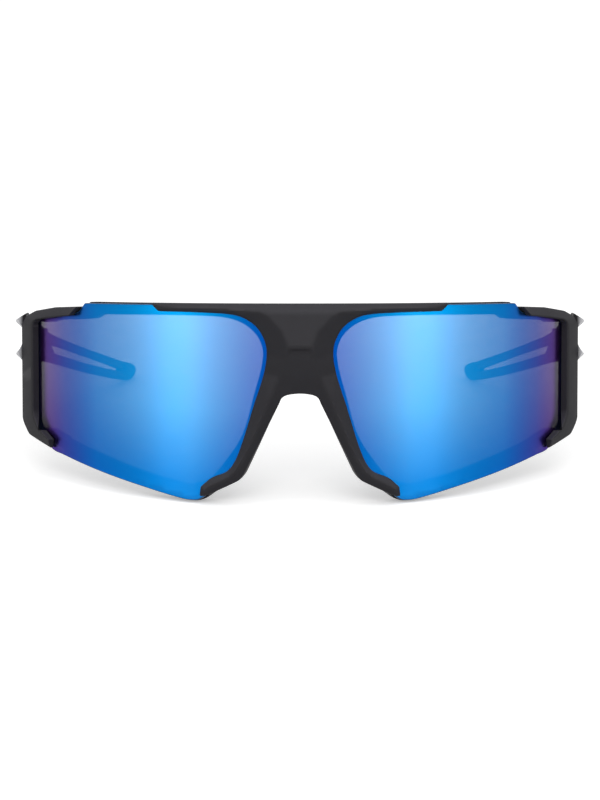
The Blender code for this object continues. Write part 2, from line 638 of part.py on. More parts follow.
def arm_ring(row):
    share, top, ridge_up, recess_up, recess_low, ridge_low, bottom, inner_up, inner_low, ridge, thick = row
    x, y = arm_inner(share)
    middle = arm_middle(share)
    width = thick * ARM_THICKNESS
    peak = width + ridge * RIDGE_HEIGHT
    shoulder = width * ARM_SHOULDER_SHARE
    across = [0, 0, shoulder, peak, width, width, peak, shoulder]
    heights = [inner_low, inner_up, top, ridge_up, recess_up, recess_low, ridge_low, bottom]
    return [Vector((x + step, y, middle + height * ARM_HALF_HEIGHT)) for step, height in zip(across, heights)]


def end_plane_y(x):
    """Where the plane just behind the bracket's end face lies at x."""
    return LENS_RADIUS - x / math.tan(END_ANGLE) + ARM_FRONT_GAP / math.sin(END_ANGLE)


def arm_rings():
    rings = [arm_ring(row) for row in ARM_SECTION_SHARES]
    for point in rings[0]:
        point.y = end_plane_y(point.x)
    return rings


def tongue_ring(along, margin):
    """A section of the arm's tongue, which the rubber tip slides over."""
    x, y = arm_inner(1)
    x += (ARM_SECTION_SHARES[-1][-1] * ARM_THICKNESS - TONGUE_THICKNESS) / 2 - along * math.tan(ARM_TOE_IN)
    middle = arm_middle(1 + along / ARM_LENGTH)
    thick = TONGUE_THICKNESS + margin
    tall = TONGUE_HALF_HEIGHT + margin
    corners = ((-margin, -tall), (-margin, tall), (thick, tall), (thick, -tall))
    return [Vector((x + step, y + along, middle + height)) for step, height in corners]


def arm_slot():
    """The long slot through the arm, between its two rails."""
    points = SLOT_TOP_SHARES + SLOT_BOTTOM_SHARES
    rings = []
    for offset in (-ARM_THICKNESS, ARM_THICKNESS + RIDGE_HEIGHT + OVERRUN):
        ring = []
        for share, height in points:
            x, y = arm_inner(share)
            ring.append(Vector((x + offset, y, arm_middle(share) + height * ARM_HALF_HEIGHT)))
        rings.append(ring)
    return sweep(rings)


def build_arm(label, side, hinge, floor, plastic, rubber):
    arm = add_object(f"temple_arm_{label}", sweep(arm_rings()), side, hinge, plastic)
    outside = HINGE.x + KNUCKLE_RADIUS + SEAT_GAP
    behind = HINGE.y + KNUCKLE_RADIUS + 2 * SEAT_GAP
    low = (HINGE.x - ARM_THICKNESS, HINGE.y - 2 * LUG_REACH, HINGE_MIDDLE - 3 * ARM_HALF_HEIGHT)
    high = (outside, behind, HINGE_MIDDLE + 3 * ARM_HALF_HEIGHT)
    cut(arm, add_object(f"hinge_pocket_{label}", box_form(low, high), side, hinge))
    knuckle = upright_prism(circle_points(HINGE, KNUCKLE_RADIUS), KNUCKLE_BOTTOM, KNUCKLE_TOP)
    join(arm, add_object(f"knuckle_{label}", knuckle, side, hinge))
    neck = box_form(
        (HINGE.x - KNUCKLE_RADIUS / 2, HINGE.y + KNUCKLE_RADIUS / 2, KNUCKLE_BOTTOM + RUNNING_GAP),
        (HINGE.x + KNUCKLE_RADIUS + OVERRUN, behind + OVERRUN, KNUCKLE_TOP - RUNNING_GAP))
    join(arm, add_object(f"knuckle_neck_{label}", neck, side, hinge))
    bush_hole = HINGE_SCREW_RADIUS + BUSH_WALL + 2 * RUNNING_GAP
    bore = upright_prism(circle_points(HINGE, bush_hole), KNUCKLE_BOTTOM - OVERRUN, KNUCKLE_TOP + OVERRUN)
    cut(arm, add_object(f"bush_bore_{label}", bore, side, hinge))
    cut(arm, add_object(f"arm_slot_{label}", arm_slot(), side, hinge))
    tongue = sweep([tongue_ring(place, 0) for place in (-OVERRUN, TONGUE_LENGTH)])
    join(arm, add_object(f"tongue_{label}", tongue, side, hinge))

    tip = add_object(f"temple_tip_{label}", sweep(tip_rings()), side, hinge, rubber)
    pocket = sweep([tongue_ring(place, SEAT_GAP) for place in (-OVERRUN, TONGUE_LENGTH + SEAT_GAP)])
    cut(tip, add_object(f"tip_pocket_{label}", pocket, side, hinge))
    cut(tip, floor)


def tip_ring(share, tall_share, thick_share):
    """A rounded section of the rubber tip."""
    along = SEAT_GAP + share * TIP_LENGTH
    x, y = arm_inner(1)
    x += ARM_SECTION_SHARES[-1][-1] * ARM_THICKNESS / 2 - along * math.tan(ARM_TOE_IN)
    middle = arm_middle(1 + along / ARM_LENGTH)
    tall = tall_share * TIP_HALF_HEIGHT
    thick = thick_share * TIP_THICKNESS / 2
    return [Vector((x + across * thick, y + along, middle + height * tall))
            for across, height in TIP_OUTLINE_SHARES]


def tip_rings():
    return [tip_ring(*row) for row in TIP_SECTION_SHARES]


def build_hinge_parts(label, side, root, hinge, steel, brass):
    lower, upper = LUG_SPANS
    top = upper[1] - RUNNING_GAP
    length = top - lower[0] - RUNNING_GAP
    form = slotted_screw(HINGE_SCREW_RADIUS, HINGE_SCREW_HEAD_RADIUS, HINGE_SCREW_HEAD_HEIGHT, length)
    bmesh.ops.translate(form, vec=(HINGE.x, HINGE.y, top), verts=form.verts)
    screw = add_object(f"hinge_screw_{label}", form, side, root, steel)
    reach = HINGE_SCREW_HEAD_RADIUS + OVERRUN
    slot = box_form((HINGE.x - reach, HINGE.y - SCREW_SLOT_WIDTH / 2, top - SCREW_SLOT_DEPTH),
                    (HINGE.x + reach, HINGE.y + SCREW_SLOT_WIDTH / 2, top + OVERRUN))
    cut(screw, add_object(f"hinge_slot_{label}", slot, side, root))

    bore = HINGE_SCREW_RADIUS + RUNNING_GAP
    under_head = top - HINGE_SCREW_HEAD_HEIGHT - RUNNING_GAP / 2
    rings = {
        "hinge_washer": (
            HINGE_SCREW_HEAD_RADIUS, under_head - HINGE_WASHER_THICKNESS, under_head, steel, root),
        "hinge_nut": (HINGE_NUT_RADIUS, lower[0] + RUNNING_GAP / 2, lower[0] + HINGE_NUT_HEIGHT, brass, root),
        "hinge_bush": (bore + BUSH_WALL, KNUCKLE_BOTTOM, KNUCKLE_TOP, brass, hinge),
    }
    for name, (radius, low, high, metal, parent) in rings.items():
        form = turned([(bore, low), (radius, low), (radius, high), (bore, high)])
        bmesh.ops.translate(form, vec=(HINGE.x, HINGE.y, 0), verts=form.verts)
        add_object(f"{name}_{label}", form, side, parent, metal)


def foot_points():
    """Where the frame's corner and the arm's tip meet the table, as (y, z) in the lens frame."""
    lowest = min(height for _, height in flowing(rim_outline()))
    corner = on_lens(FOOT_WIDTH_SHARE * LENS_HALF_WIDTH, lowest, RIM_BACK)
    front = Vector((corner.y, corner.z))
    tip = [Vector((point.y, point.z)) for ring in tip_rings() for point in ring]
    rear = min(tip, key=lambda point: (point.y - front.y) / (point.x - front.x))
    return front, rear


def centre_depth(root):
    """Moves the glasses along y, until the origin lies under the middle of their depth."""
    bpy.context.view_layer.update()
    places = [item.matrix_world @ point.co for item in bpy.data.objects
              if item.type == "MESH" and not item.hide_render for point in item.data.vertices]
    root.location.y -= (min(place.y for place in places) + max(place.y for place in places)) / 2


def main():
    clear_scene()
    plastic = finish_material("matt_black_plastic", (0.035, 0.034, 0.038), 0.55)
    mirror = finish_material("blue_mirror_lens", (0.05, 0.25, 0.75), 0.05, 0.6, 0.8)
    rubber = finish_material("soft_black_rubber", (0.02, 0.02, 0.022), 0.8)
    steel = finish_material("stainless_steel", (0.6, 0.6, 0.62), 0.3, 1.0)
    brass = finish_material("brass", (0.75, 0.58, 0.28), 0.35, 1.0)

    front_foot, rear_foot = foot_points()
    tilt = math.atan2(rear_foot.y - front_foot.y, rear_foot.x - front_foot.x)
    root = carrier("rest_pose", (0, 0, 0))
    root.rotation_euler.x = -tilt
    upward = Vector((-math.sin(tilt), math.cos(tilt)))
    floor_height = front_foot.dot(upward) + FOOT_FLAT
    root.location.z = -floor_height

    depth = LENS_RADIUS * 2
    floor_box = box_form((-depth, -depth, floor_height - depth), (depth, depth, floor_height))
    bmesh.ops.rotate(floor_box, matrix=Matrix.Rotation(tilt, 3, "X"), verts=floor_box.verts)
    floor = add_object("floor_cutter", floor_box, 1, root)

    build_frame(root, floor, plastic)
    build_lens(root, floor, mirror)
    build_cover(root, plastic)
    build_bridge_screws(root, steel)
    for side, label in ((1, "left"), (-1, "right")):
        place = Vector((side * HINGE.x, HINGE.y, HINGE_MIDDLE))
        hinge = carrier(f"hinge_axis_{label}", place, root)
        build_nose_pad(label, side, root, rubber, steel)
        build_arm(label, side, hinge, floor, plastic, rubber)
        build_hinge_parts(label, side, root, hinge, steel, brass)
    centre_depth(root)


main()
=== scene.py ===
"""Looks of the sports sunglasses: fine surfaces, finishes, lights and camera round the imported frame.

The pieces are made in the lens frame: its origin is the middle of the lens's front face, +X is the
wearer's left, +Y runs back towards the face and +Z is up. The rest pose then tilts them as they stand.
"""

import json
import math

import bmesh
import bpy
import numpy as np
from mathutils import Matrix, Vector
from mathutils.bvhtree import BVHTree
from mathutils.geometry import delaunay_2d_cdt


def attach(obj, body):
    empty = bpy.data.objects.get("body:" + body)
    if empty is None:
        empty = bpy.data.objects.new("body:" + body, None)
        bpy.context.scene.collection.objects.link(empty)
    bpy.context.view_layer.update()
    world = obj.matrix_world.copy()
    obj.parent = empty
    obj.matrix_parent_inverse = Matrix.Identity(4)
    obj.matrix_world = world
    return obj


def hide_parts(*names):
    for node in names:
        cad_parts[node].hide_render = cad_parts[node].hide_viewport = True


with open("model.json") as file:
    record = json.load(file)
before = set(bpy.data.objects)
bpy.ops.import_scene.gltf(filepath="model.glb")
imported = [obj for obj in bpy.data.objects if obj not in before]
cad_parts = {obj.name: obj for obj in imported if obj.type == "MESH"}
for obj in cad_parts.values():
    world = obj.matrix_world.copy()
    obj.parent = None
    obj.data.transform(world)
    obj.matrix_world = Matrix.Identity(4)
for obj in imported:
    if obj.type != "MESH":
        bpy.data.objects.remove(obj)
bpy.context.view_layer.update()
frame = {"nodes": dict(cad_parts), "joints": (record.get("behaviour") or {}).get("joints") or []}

MM = 0.001

# Clearances
SEAT_GAP = 0.3 * MM
RUNNING_GAP = 0.1 * MM
OVERRUN = 1.0 * MM

# Fineness of the surfaces
LENS_GRID = 1.5 * MM
RIM_GRID = 1.2 * MM
COVER_GRID = 0.6 * MM
SWEEP_STEP = 1.2 * MM
BORDER_SHARE = 0.7  # spacing along a plate's border, as a share of its grid
MARGIN_SHARE = 0.45  # strip without grid points inside the border, as a share of the grid
LEAST_PIECE_SHARE = 0.05  # shorter pieces of a line are dropped, as a share of its spacing
MERGE_REACH = 1e-8  # points of a plate closer than this, in metres, become one
WELD_REACH = 0.001 * MM
CORNER_TURN = math.radians(42)  # sharper turns of an outline stay corners
SOFT_TURN = 0.8 * CORNER_TURN  # sharper turns of the finished line are rounded
CORNER_REACH = 0.45 * MM
MITRE_LIMIT = 0.5  # least cosine, so that a sharp corner doesn't run far out
FLOW_STEP = 0.8 * MM
CURVE_STEPS = 4
ROUND_STEPS = 4
SMOOTH_ANGLE = math.radians(32)
STEP_WIDTH = 0.03 * MM  # of an upright step in a surface
FACING_LIMIT = 0.9  # least cosine of the lens's two faces: what turns away further is its edge
SPOT_RINGS = ((0.55, 6), (1.0, 10))  # rings looked at round a place: share of the softness, spots
PAD_SEGMENTS = (48, 32)
TIP_RINGS = 36
METAL_EDGE = 0.06 * MM
METAL_EDGE_TURN = math.radians(40)
METAL_EDGE_STEPS = 2

# Lens
LENS_RADIUS = 90 * MM
LENS_HALF_WIDTH = 79.5 * MM
LENS_HALF_HEIGHT = 25 * MM
LENS_THICKNESS = 2 * MM
LENS_EDGE_ROUND = 0.3 * MM

# Rear frame
RIM_THICKNESS = 3.2 * MM
RIM_PROUD = 0.25 * MM
RIM_ROUND = 0.6 * MM
BRACKET_OVERHANG = 4.5 * MM
BRACKET_RISE = 2.2 * MM
BRACKET_EDGE_RISE = 1.2 * MM
BRACKET_DEPTH = 5.9 * MM
BRACKET_ROUND = 0.3 * MM
BRACKET_BEND = 0.7 * MM
NOSE_LIP = 1.0 * MM

# Front cover
COVER_EDGE_RISE = 1.3 * MM
COVER_CREST_RISE = 2.7 * MM
COVER_PANEL_RISE = 4.2 * MM
COVER_LEDGE = 0.9 * MM
COVER_ARM_RISE = 2.4 * MM
COVER_ROUND = 0.4 * MM
CREASE_SOFTNESS = 0.35 * MM

# Bridge screws and nose pads
BRIDGE_SCREW_RADIUS = 0.8 * MM
BRIDGE_SCREW_HEAD_RADIUS = 1.5 * MM
BRIDGE_SCREW_HEAD_HEIGHT = 0.9 * MM
BRIDGE_SCREW_BITE = 1.6 * MM
PAD_LENGTH = 16 * MM
PAD_DEPTH = 7.5 * MM
PAD_THICKNESS = 3.4 * MM
PAD_STANDOFF = 1.9 * MM
PAD_LEAN = math.radians(28)
PAD_SPLAY = math.radians(8)
PAD_SQUARENESS_SHARE = 0.72
CORE_RADIUS = 0.9 * MM
CORE_BITE = 1.6 * MM
CORE_REACH = 5.0 * MM

# Hinges
HINGE_SETBACK = 3.1 * MM
HINGE_MIDDLE = 12.1 * MM
KNUCKLE_HEIGHT = 3.0 * MM
KNUCKLE_RADIUS = 2.4 * MM
LUG_HEIGHT = 2.1 * MM
LUG_REACH = 6.0 * MM
HINGE_SCREW_RADIUS = 0.7 * MM
HINGE_SCREW_HEAD_RADIUS = 1.4 * MM
HINGE_SCREW_HEAD_HEIGHT = 0.8 * MM
HINGE_WASHER_THICKNESS = 0.3 * MM
HINGE_NUT_RADIUS = 1.3 * MM
HINGE_NUT_HEIGHT = 1.1 * MM
BUSH_WALL = 0.3 * MM

# Arms
ARM_LENGTH = 97 * MM
ARM_TOE_IN = math.radians(9.1)
ARM_INNER_OFFSET = 0.4 * MM
ARM_THICKNESS = 4.4 * MM
ARM_HALF_HEIGHT = 3.9 * MM
ARM_DROP = 12.6 * MM
ARM_SAG = 0.7 * MM
ARM_ROUND = 0.7 * MM
RIB_START = 73.0 * MM  # the ribs get a painted sheen where they stand out further than this
RIB_FADE = 0.8 * MM
RIDGE_HEIGHT = 3.3 * MM
ARM_FRONT_GAP = 0.35 * MM
SLOT_CHAMFER = 0.25 * MM
SLOT_BEND = 1.5 * MM
TONGUE_LENGTH = 10 * MM
TONGUE_THICKNESS = 1.4 * MM
TONGUE_HALF_HEIGHT = 1.2 * MM
TIP_LENGTH = 14 * MM
TIP_HALF_HEIGHT = 3.1 * MM
TIP_THICKNESS = 4 * MM
TIP_EDGE_ROUND = 0.8 * MM

# Outlines on the lens face, as shares of its half width and half height. A width share over 1 lies
# past the lens's end: what is over 1 is a share of the bracket's overhang.
LENS_TOP_SHARES = [(0.0, 0.95), (0.75, 0.945), (0.78, 0.85)]
LENS_END_SHARES = [
    (0.81, 0.84), (0.90, 0.825), (0.975, 0.80), (1.0, 0.74), (1.0, -0.30), (0.975, -0.40),
    (0.91, -0.585),
]
LENS_BOTTOM_SHARES = [(0.85, -0.64), (0.68, -0.785), (0.52, -0.91), (0.38, -1.015), (0.345, -1.025)]
LENS_NOSE_SHARES = [
    (0.32, -1.01), (0.26, -0.86), (0.22, -0.79), (0.195, -0.72), (0.08, -0.02), (0.06, 0.075),
    (0.035, 0.125), (0.0, 0.14),
]
RIM_NOSE_SHARES = [
    (0.32, -1.02), (0.28, -0.94), (0.20, -0.815), (0.19, -0.785), (0.178, -0.735), (0.068, -0.03),
    (0.058, 0.025), (0.04, 0.06), (0.0, 0.075),
]
RIM_SIDE_SHARES = [(0.90, 0.84), (1.35, 0.70), (1.35, -0.28), (0.985, -0.40), (0.90, -0.565)]
EYE_OPENING_SHARES = [
    (0.12, 0.44), (0.15, 0.04), (0.19, -0.37), (0.26, -0.69), (0.30, -0.81), (0.37, -0.875),
    (0.40, -0.865), (0.55, -0.765), (0.975, -0.405), (0.985, -0.35), (0.985, 0.70), (0.97, 0.735),
    (0.89, 0.76), (0.74, 0.785), (0.715, 0.82), (0.69, 0.83), (0.29, 0.83), (0.20, 0.78), (0.14, 0.64),
]
BRACKET_INNER_SHARES = [
    (0.795, 0.815), (0.89, 0.785), (0.955, 0.76), (0.97, 0.735), (0.973, 0.69), (0.973, -0.20),
    (0.965, -0.275), (0.945, -0.37), (0.895, -0.48),
]
BRACKET_OUTER_SHARES = [
    (0.775, 0.905), (0.87, 0.895), (0.975, 0.85), (1.5, 0.79), (2.0, 0.70), (2.0, -0.29),
    (1.8, -0.35), (1.3, -0.45), (0.90, -0.57),
]
BRACKET_CREST_SHARE = 0.12
CLEAR_WIDTH_SHARE = 0.977
CLEAR_START_SHARE = 0.860
CLEAR_HEIGHT_SHARES = (-0.398, 0.728)
COVER_OUTLINE_SHARES = [
    (0.0, 0.965), (0.485, 0.965), (0.457, 0.88), (0.30, 0.87), (0.20, 0.845), (0.15, 0.77),
    (0.12, 0.66), (0.104, 0.50), (0.112, 0.275), (0.145, -0.06), (0.18, -0.42), (0.205, -0.62),
    (0.23, -0.72), (0.28, -0.79), (0.315, -0.88), (0.318, -0.975), (0.303, -0.975), (0.28, -0.945),
    (0.20, -0.825), (0.187, -0.795), (0.175, -0.74), (0.065, -0.035), (0.057, 0.02), (0.04, 0.05),
    (0.0, 0.065),
]
BROW_CREASE_SHARES = [(0.45, 0.925), (0.31, 0.91), (0.20, 0.895), (0.12, 0.875)]
PANEL_SIDE_SHARES = [(0.12, 0.875), (0.095, 0.82), (0.055, 0.68), (0.034, 0.52)]
LEDGE_SHARES = [(0.03, 0.50), (-0.03, 0.50)]
NOSE_CREST_SHARES = [
    (0.034, 0.52), (0.044, 0.40), (0.06, 0.24), (0.10, -0.03), (0.17, -0.56), (0.20, -0.71),
    (0.23, -0.795), (0.30, -0.91),
]
BRIDGE_SCREW_SHARES = (0.76, 0.30)
PAD_WIDTH_SHARE = 0.150
PAD_HEIGHT_SHARE = -0.400

# Arm sections, from front to back. Each row: place along the arm, then heights over the middle line
# as shares of the half height (top, upper ridge, recess top, recess bottom, lower ridge, bottom,
# inner top, inner bottom), then the ridge's and the thickness's shares.
ARM_SECTION_SHARES = [
    (-0.055, 1.92, 1.50, 0.98, -0.24, -0.76, -1.84, 0.80, -0.84, 0.35, 0.76),
    (0.000, 2.14, 1.55, 1.00, -0.20, -0.71, -1.64, 0.86, -0.84, 0.75, 0.97),
    (0.050, 2.00, 1.50, 0.98, -0.16, -0.64, -1.16, 0.90, -0.85, 0.95, 1.00),
    (0.160, 1.18, 0.92, 0.66, -0.34, -0.62, -0.94, 0.92, -0.88, 0.70, 0.84),
    (0.300, 1.00, 0.80, 0.56, -0.32, -0.56, -0.92, 0.92, -0.89, 0.50, 0.60),
    (0.600, 0.88, 0.68, 0.48, -0.30, -0.50, -0.90, 0.84, -0.86, 0.30, 0.48),
    (0.850, 0.76, 0.54, 0.32, -0.32, -0.54, -0.88, 0.72, -0.84, 0.16, 0.43),
    (1.000, 0.66, 0.44, 0.22, -0.34, -0.54, -0.86, 0.62, -0.82, 0.08, 0.42),
]
ARM_SHOULDER_SHARE = 0.62
SLOT_TOP_SHARES = [(0.112, 0.38), (0.29, 0.41), (0.58, 0.34), (0.80, 0.18), (0.972, 0.0)]
SLOT_BOTTOM_SHARES = [(0.978, -0.18), (0.80, -0.21), (0.45, -0.24), (0.155, -0.29)]
TIP_SECTION_SHARES = [(0.0, 0.92, 0.78), (0.15, 0.96, 0.92), (0.50, 1.0, 1.0), (0.78, 0.96, 0.96),
                      (0.92, 0.80, 0.80), (1.0, 0.46, 0.46)]
TIP_OUTLINE_SHARES = [
    (1.0, 0.50), (0.70, 0.84), (0.0, 0.82), (-0.66, 0.68), (-0.96, 0.42), (-1.0, 0.12),
    (-0.90, -0.25), (-0.60, -0.66), (-0.10, -0.95), (0.50, -1.0), (1.0, -0.70),
]
RING_SIDES = 40


def on_lens(width, height, rise):
    """The point over the lens face at a distance along it from its middle, a height and a rise."""
    angle = width / LENS_RADIUS
    radius = LENS_RADIUS + rise
    return Vector((radius * math.sin(angle), LENS_RADIUS - radius * math.cos(angle), height))


def along_face(share):
    """The distance along the lens face, from its middle, that a width share stands for."""
    return min(share, 1) * LENS_HALF_WIDTH + max(share - 1, 0) * BRACKET_OVERHANG


def face_points(shares):
    return [(along_face(width), height * LENS_HALF_HEIGHT) for width, height in shares]


def mirrored(points):
    return [(-width, height) for width, height in points]


def both_halves(points):
    """A closed outline from its +X half, which starts and ends on the middle line."""
    return points + mirrored(reversed(points[1:-1]))


def offset_outline(points, shift):
    """The outline moved outwards by a shift, with mitred corners."""
    count = len(points)
    area = sum(points[i - 1][0] * points[i][1] - points[i][0] * points[i - 1][1] for i in range(count))
    turn = 1.0 if area > 0 else -1.0
    moved = []
    for index in range(count):
        before, here, after = (Vector(points[(index + step) % count]) for step in (-1, 0, 1))
        normals = [Vector((line.y, -line.x)).normalized() * turn for line in (here - before, after - here)]
        middle = (normals[0] + normals[1]).normalized()
        moved.append(tuple(here + middle * (shift / max(middle.dot(normals[0]), MITRE_LIMIT))))
    return moved


def soften(points, reach, closed=True, least_turn=0.0):
    """Rounds off each bend of a line that turns by more than the least turn."""
    places = [Vector(point) for point in points]
    count = len(places)
    soft = [] if closed else [places[0]]
    for index in range(count) if closed else range(1, count - 1):
        before, here, after = (places[(index + step) % count] for step in (-1, 0, 1))
        into, out = here - before, after - here
        if into.angle(out) < least_turn:
            soft.append(here)
            continue
        start = here - into.normalized() * min(reach, into.length / 2)
        end = here + out.normalized() * min(reach, out.length / 2)
        for step in range(CURVE_STEPS + 1):
            t = step / CURVE_STEPS
            soft.append(start * (1 - t) ** 2 + here * (2 * t * (1 - t)) + end * t ** 2)
    return soft if closed else soft + [places[-1]]


def between(start, end, leave, reach, t):
    """The value at t on a smooth curve from start to end, with its slopes at both."""
    return (start * (2 * t ** 3 - 3 * t ** 2 + 1) + end * (3 * t ** 2 - 2 * t ** 3)
            + leave * (t ** 3 - 2 * t ** 2 + t) + reach * (t ** 3 - t ** 2))


def flowing(points):
    """A closed line through the points, as a smooth curve with slightly rounded sharp corners."""
    places = [Vector(point) for point in points]
    count = len(places)
    ways = [(places[(index + 1) % count] - places[index]).normalized() for index in range(count)]
    corners = [ways[index - 1].angle(ways[index]) > CORNER_TURN for index in range(count)]
    through = [(places[(index + 1) % count] - places[index - 1]).normalized() for index in range(count)]
    fine = []
    for index, here in enumerate(places):
        after = (index + 1) % count
        length = (places[after] - here).length
        leave = ways[index] if corners[index] else through[index]
        reach = ways[index] if corners[after] else through[after]
        steps = max(1, math.ceil(length / FLOW_STEP))
        fine += [between(here, places[after], leave * length, reach * length, step / steps)
                 for step in range(steps)]
    return soften(fine, CORNER_REACH, least_turn=SOFT_TURN)


def evenly(points, spacing):
    """A closed line with points no further apart than the spacing, and none on top of another."""
    even = []
    for index, here in enumerate(points):
        after = Vector(points[(index + 1) % len(points)])
        here = Vector(here)
        length = (after - here).length
        if length < spacing * LEAST_PIECE_SHARE:
            continue
        pieces = math.ceil(length / spacing)
        even += [here.lerp(after, step / pieces) for step in range(pieces)]
    return [tuple(point) for point in even]


def inside(points, loop):
    """Whether each point lies inside a closed line."""
    x, y = points[:, 0:1], points[:, 1:2]
    start = np.array(loop)
    end = np.roll(start, -1, axis=0)
    crosses = (start[:, 1] > y) != (end[:, 1] > y)
    rise = np.where(end[:, 1] == start[:, 1], 1.0, end[:, 1] - start[:, 1])
    at = start[:, 0] + (y - start[:, 1]) * (end[:, 0] - start[:, 0]) / rise
    return ((crosses & (x < at)).sum(axis=1) % 2) == 1


def distance(points, loop):
    """How far each point lies from a closed line."""
    start = np.array(loop)
    line = np.roll(start, -1, axis=0) - start
    nearest = np.full(len(points), np.inf)
    for first, along in zip(start, line):
        share = np.clip(((points - first) @ along) / (along @ along), 0, 1)
        gap = points - first - share[:, None] * along
        nearest = np.minimum(nearest, np.hypot(gap[:, 0], gap[:, 1]))
    return nearest


def round_drop(inset, radius):
    """How far a rounded edge lies below the face, at an inset from the wall."""
    if radius == 0 or inset >= radius:
        return 0.0
    return radius - math.sqrt(radius ** 2 - (radius - inset) ** 2)


def plate(outline, front, back, grid, front_round, back_round=0.0, holes=(), steps_at=()):
    """A curved solid on the lens's cylinder, over an outline with holes.

    The front and the back are functions that give the rises of an array of places. Their edges are
    rounded. Where the front has an upright step, its line is in steps_at.
    """
    loops = [evenly(line, grid * BORDER_SHARE) for line in (outline, *holes)]
    widest = max(front_round, back_round)
    places, insets = [], []
    for number, loop in enumerate(loops):
        direction = 1 if number else -1
        for step in range(ROUND_STEPS + 1):
            inset = widest * (1 - math.cos(math.pi / 2 * step / ROUND_STEPS))
            ring = offset_outline(loop, direction * inset) if inset else loop
            places += ring
            insets += [inset] * len(ring)
            if widest == 0:
                break
    margin = widest + grid * MARGIN_SHARE
    low, high = np.min(loops[0], axis=0), np.max(loops[0], axis=0)
    rows = np.arange(low[1], high[1], grid * math.sqrt(3) / 2)
    fill = np.array([(x + (grid / 2 if row % 2 else 0), y)
                     for row, y in enumerate(rows) for x in np.arange(low[0], high[0], grid)])
    for line in steps_at:
        for shift in (0, STEP_WIDTH):
            fill = np.vstack([fill, offset_outline(evenly(line, grid), shift)])
    keep = inside(fill, loops[0])
    for loop in loops:
        keep &= distance(fill, loop) > margin
    for loop in loops[1:]:
        keep &= ~inside(fill, loop)
    places += [tuple(point) for point in fill[keep]]
    insets += [widest] * int(keep.sum())

    borders, first = [], 0
    for loop in loops:
        borders += [(first + i, first + (i + 1) % len(loop)) for i in range(len(loop))]
        first += len(loop) * ((ROUND_STEPS + 1) if widest else 1)
    flat, _, triangles, sources, _, _ = delaunay_2d_cdt(
        [Vector(place) for place in places], borders, [list(range(len(loops[0])))], 1, MERGE_REACH)
    flat = np.array([tuple(point) for point in flat])
    inset = np.array([insets[source[0]] if source else widest for source in sources])
    fronts = front(flat) - np.array([round_drop(value, front_round) for value in inset])
    backs = back(flat) + np.array([round_drop(value, back_round) for value in inset])

    centres = np.array([flat[list(corner)].mean(axis=0) for corner in triangles])
    kept = np.ones(len(triangles), bool)
    for loop in loops[1:]:
        kept &= ~inside(centres, loop)
    form = bmesh.new()
    upper = [form.verts.new(on_lens(x, y, rise)) for (x, y), rise in zip(flat, fronts)]
    lower = [form.verts.new(on_lens(x, y, rise)) for (x, y), rise in zip(flat, backs)]
    for corner, wanted in zip(triangles, kept):
        if wanted:
            form.faces.new([upper[i] for i in corner])
            form.faces.new([lower[i] for i in reversed(corner)])
    form.verts.index_update()
    pair = dict(zip(upper, lower))
    for edge in [edge for edge in form.edges if len(edge.link_faces) == 1 and edge.verts[0] in pair]:
        loop = edge.link_loops[0]
        a, b = loop.vert, loop.link_loop_next.vert
        wall = form.faces.new((b, a, pair[a], pair[b]))
        wall.material_index = 1
    bmesh.ops.delete(form, geom=[point for point in form.verts if not point.link_faces], context="VERTS")
    bmesh.ops.recalc_face_normals(form, faces=form.faces)
    return form


def level(rise):
    return lambda places: np.full(len(places), rise)


def sweep(rings):
    """A closed solid through rings of equally many points, with flat ends."""
    form = bmesh.new()
    rows = [[form.verts.new(point) for point in ring] for ring in rings]
    for first, second in zip(rows, rows[1:]):
        for index in range(len(first)):
            after = (index + 1) % len(first)
            form.faces.new((first[index], first[after], second[after], second[index]))
    form.faces.new(rows[0])
    form.faces.new(list(reversed(rows[-1])))
    bmesh.ops.recalc_face_normals(form, faces=form.faces)
    return form


def upright_prism(points, bottom, top):
    return sweep([[Vector((x, y, height)) for x, y in points] for height in (bottom, top)])


def circle_points(centre, radius):
    turns = [2 * math.pi * index / RING_SIDES for index in range(RING_SIDES)]
    return [(centre.x + radius * math.cos(turn), centre.y + radius * math.sin(turn)) for turn in turns]


def box_form(low, high):
    form = bmesh.new()
    bmesh.ops.create_cube(form, size=1.0)
    for point in form.verts:
        for axis in range(3):
            point.co[axis] = high[axis] if point.co[axis] > 0 else low[axis]
    return form


def rod(radius, start, end, matrix):
    """A round bar along the y axis of a matrix."""
    ring = circle_points(Vector((0, 0)), radius)
    return sweep([[matrix @ Vector((x, y, z)) for x, z in ring] for y in (start, end)])


# Shared places in the lens frame
RIM_FRONT = -(LENS_THICKNESS + SEAT_GAP)
RIM_BACK = RIM_FRONT - RIM_THICKNESS
FRAME_HALF_WIDTH = along_face(2)
END_ANGLE = FRAME_HALF_WIDTH / LENS_RADIUS
END_NORMAL = Vector((math.cos(END_ANGLE), math.sin(END_ANGLE), 0))
HINGE = on_lens(FRAME_HALF_WIDTH, 0, -BRACKET_DEPTH) + END_NORMAL * HINGE_SETBACK
KNUCKLE_BOTTOM = HINGE_MIDDLE - KNUCKLE_HEIGHT / 2
KNUCKLE_TOP = HINGE_MIDDLE + KNUCKLE_HEIGHT / 2
LUG_SPANS = [
    (KNUCKLE_BOTTOM - SEAT_GAP - LUG_HEIGHT, KNUCKLE_BOTTOM - SEAT_GAP),
    (KNUCKLE_TOP + SEAT_GAP, KNUCKLE_TOP + SEAT_GAP + LUG_HEIGHT),
]
LENS_CHORD = LENS_RADIUS * math.sin(LENS_HALF_WIDTH / LENS_RADIUS)


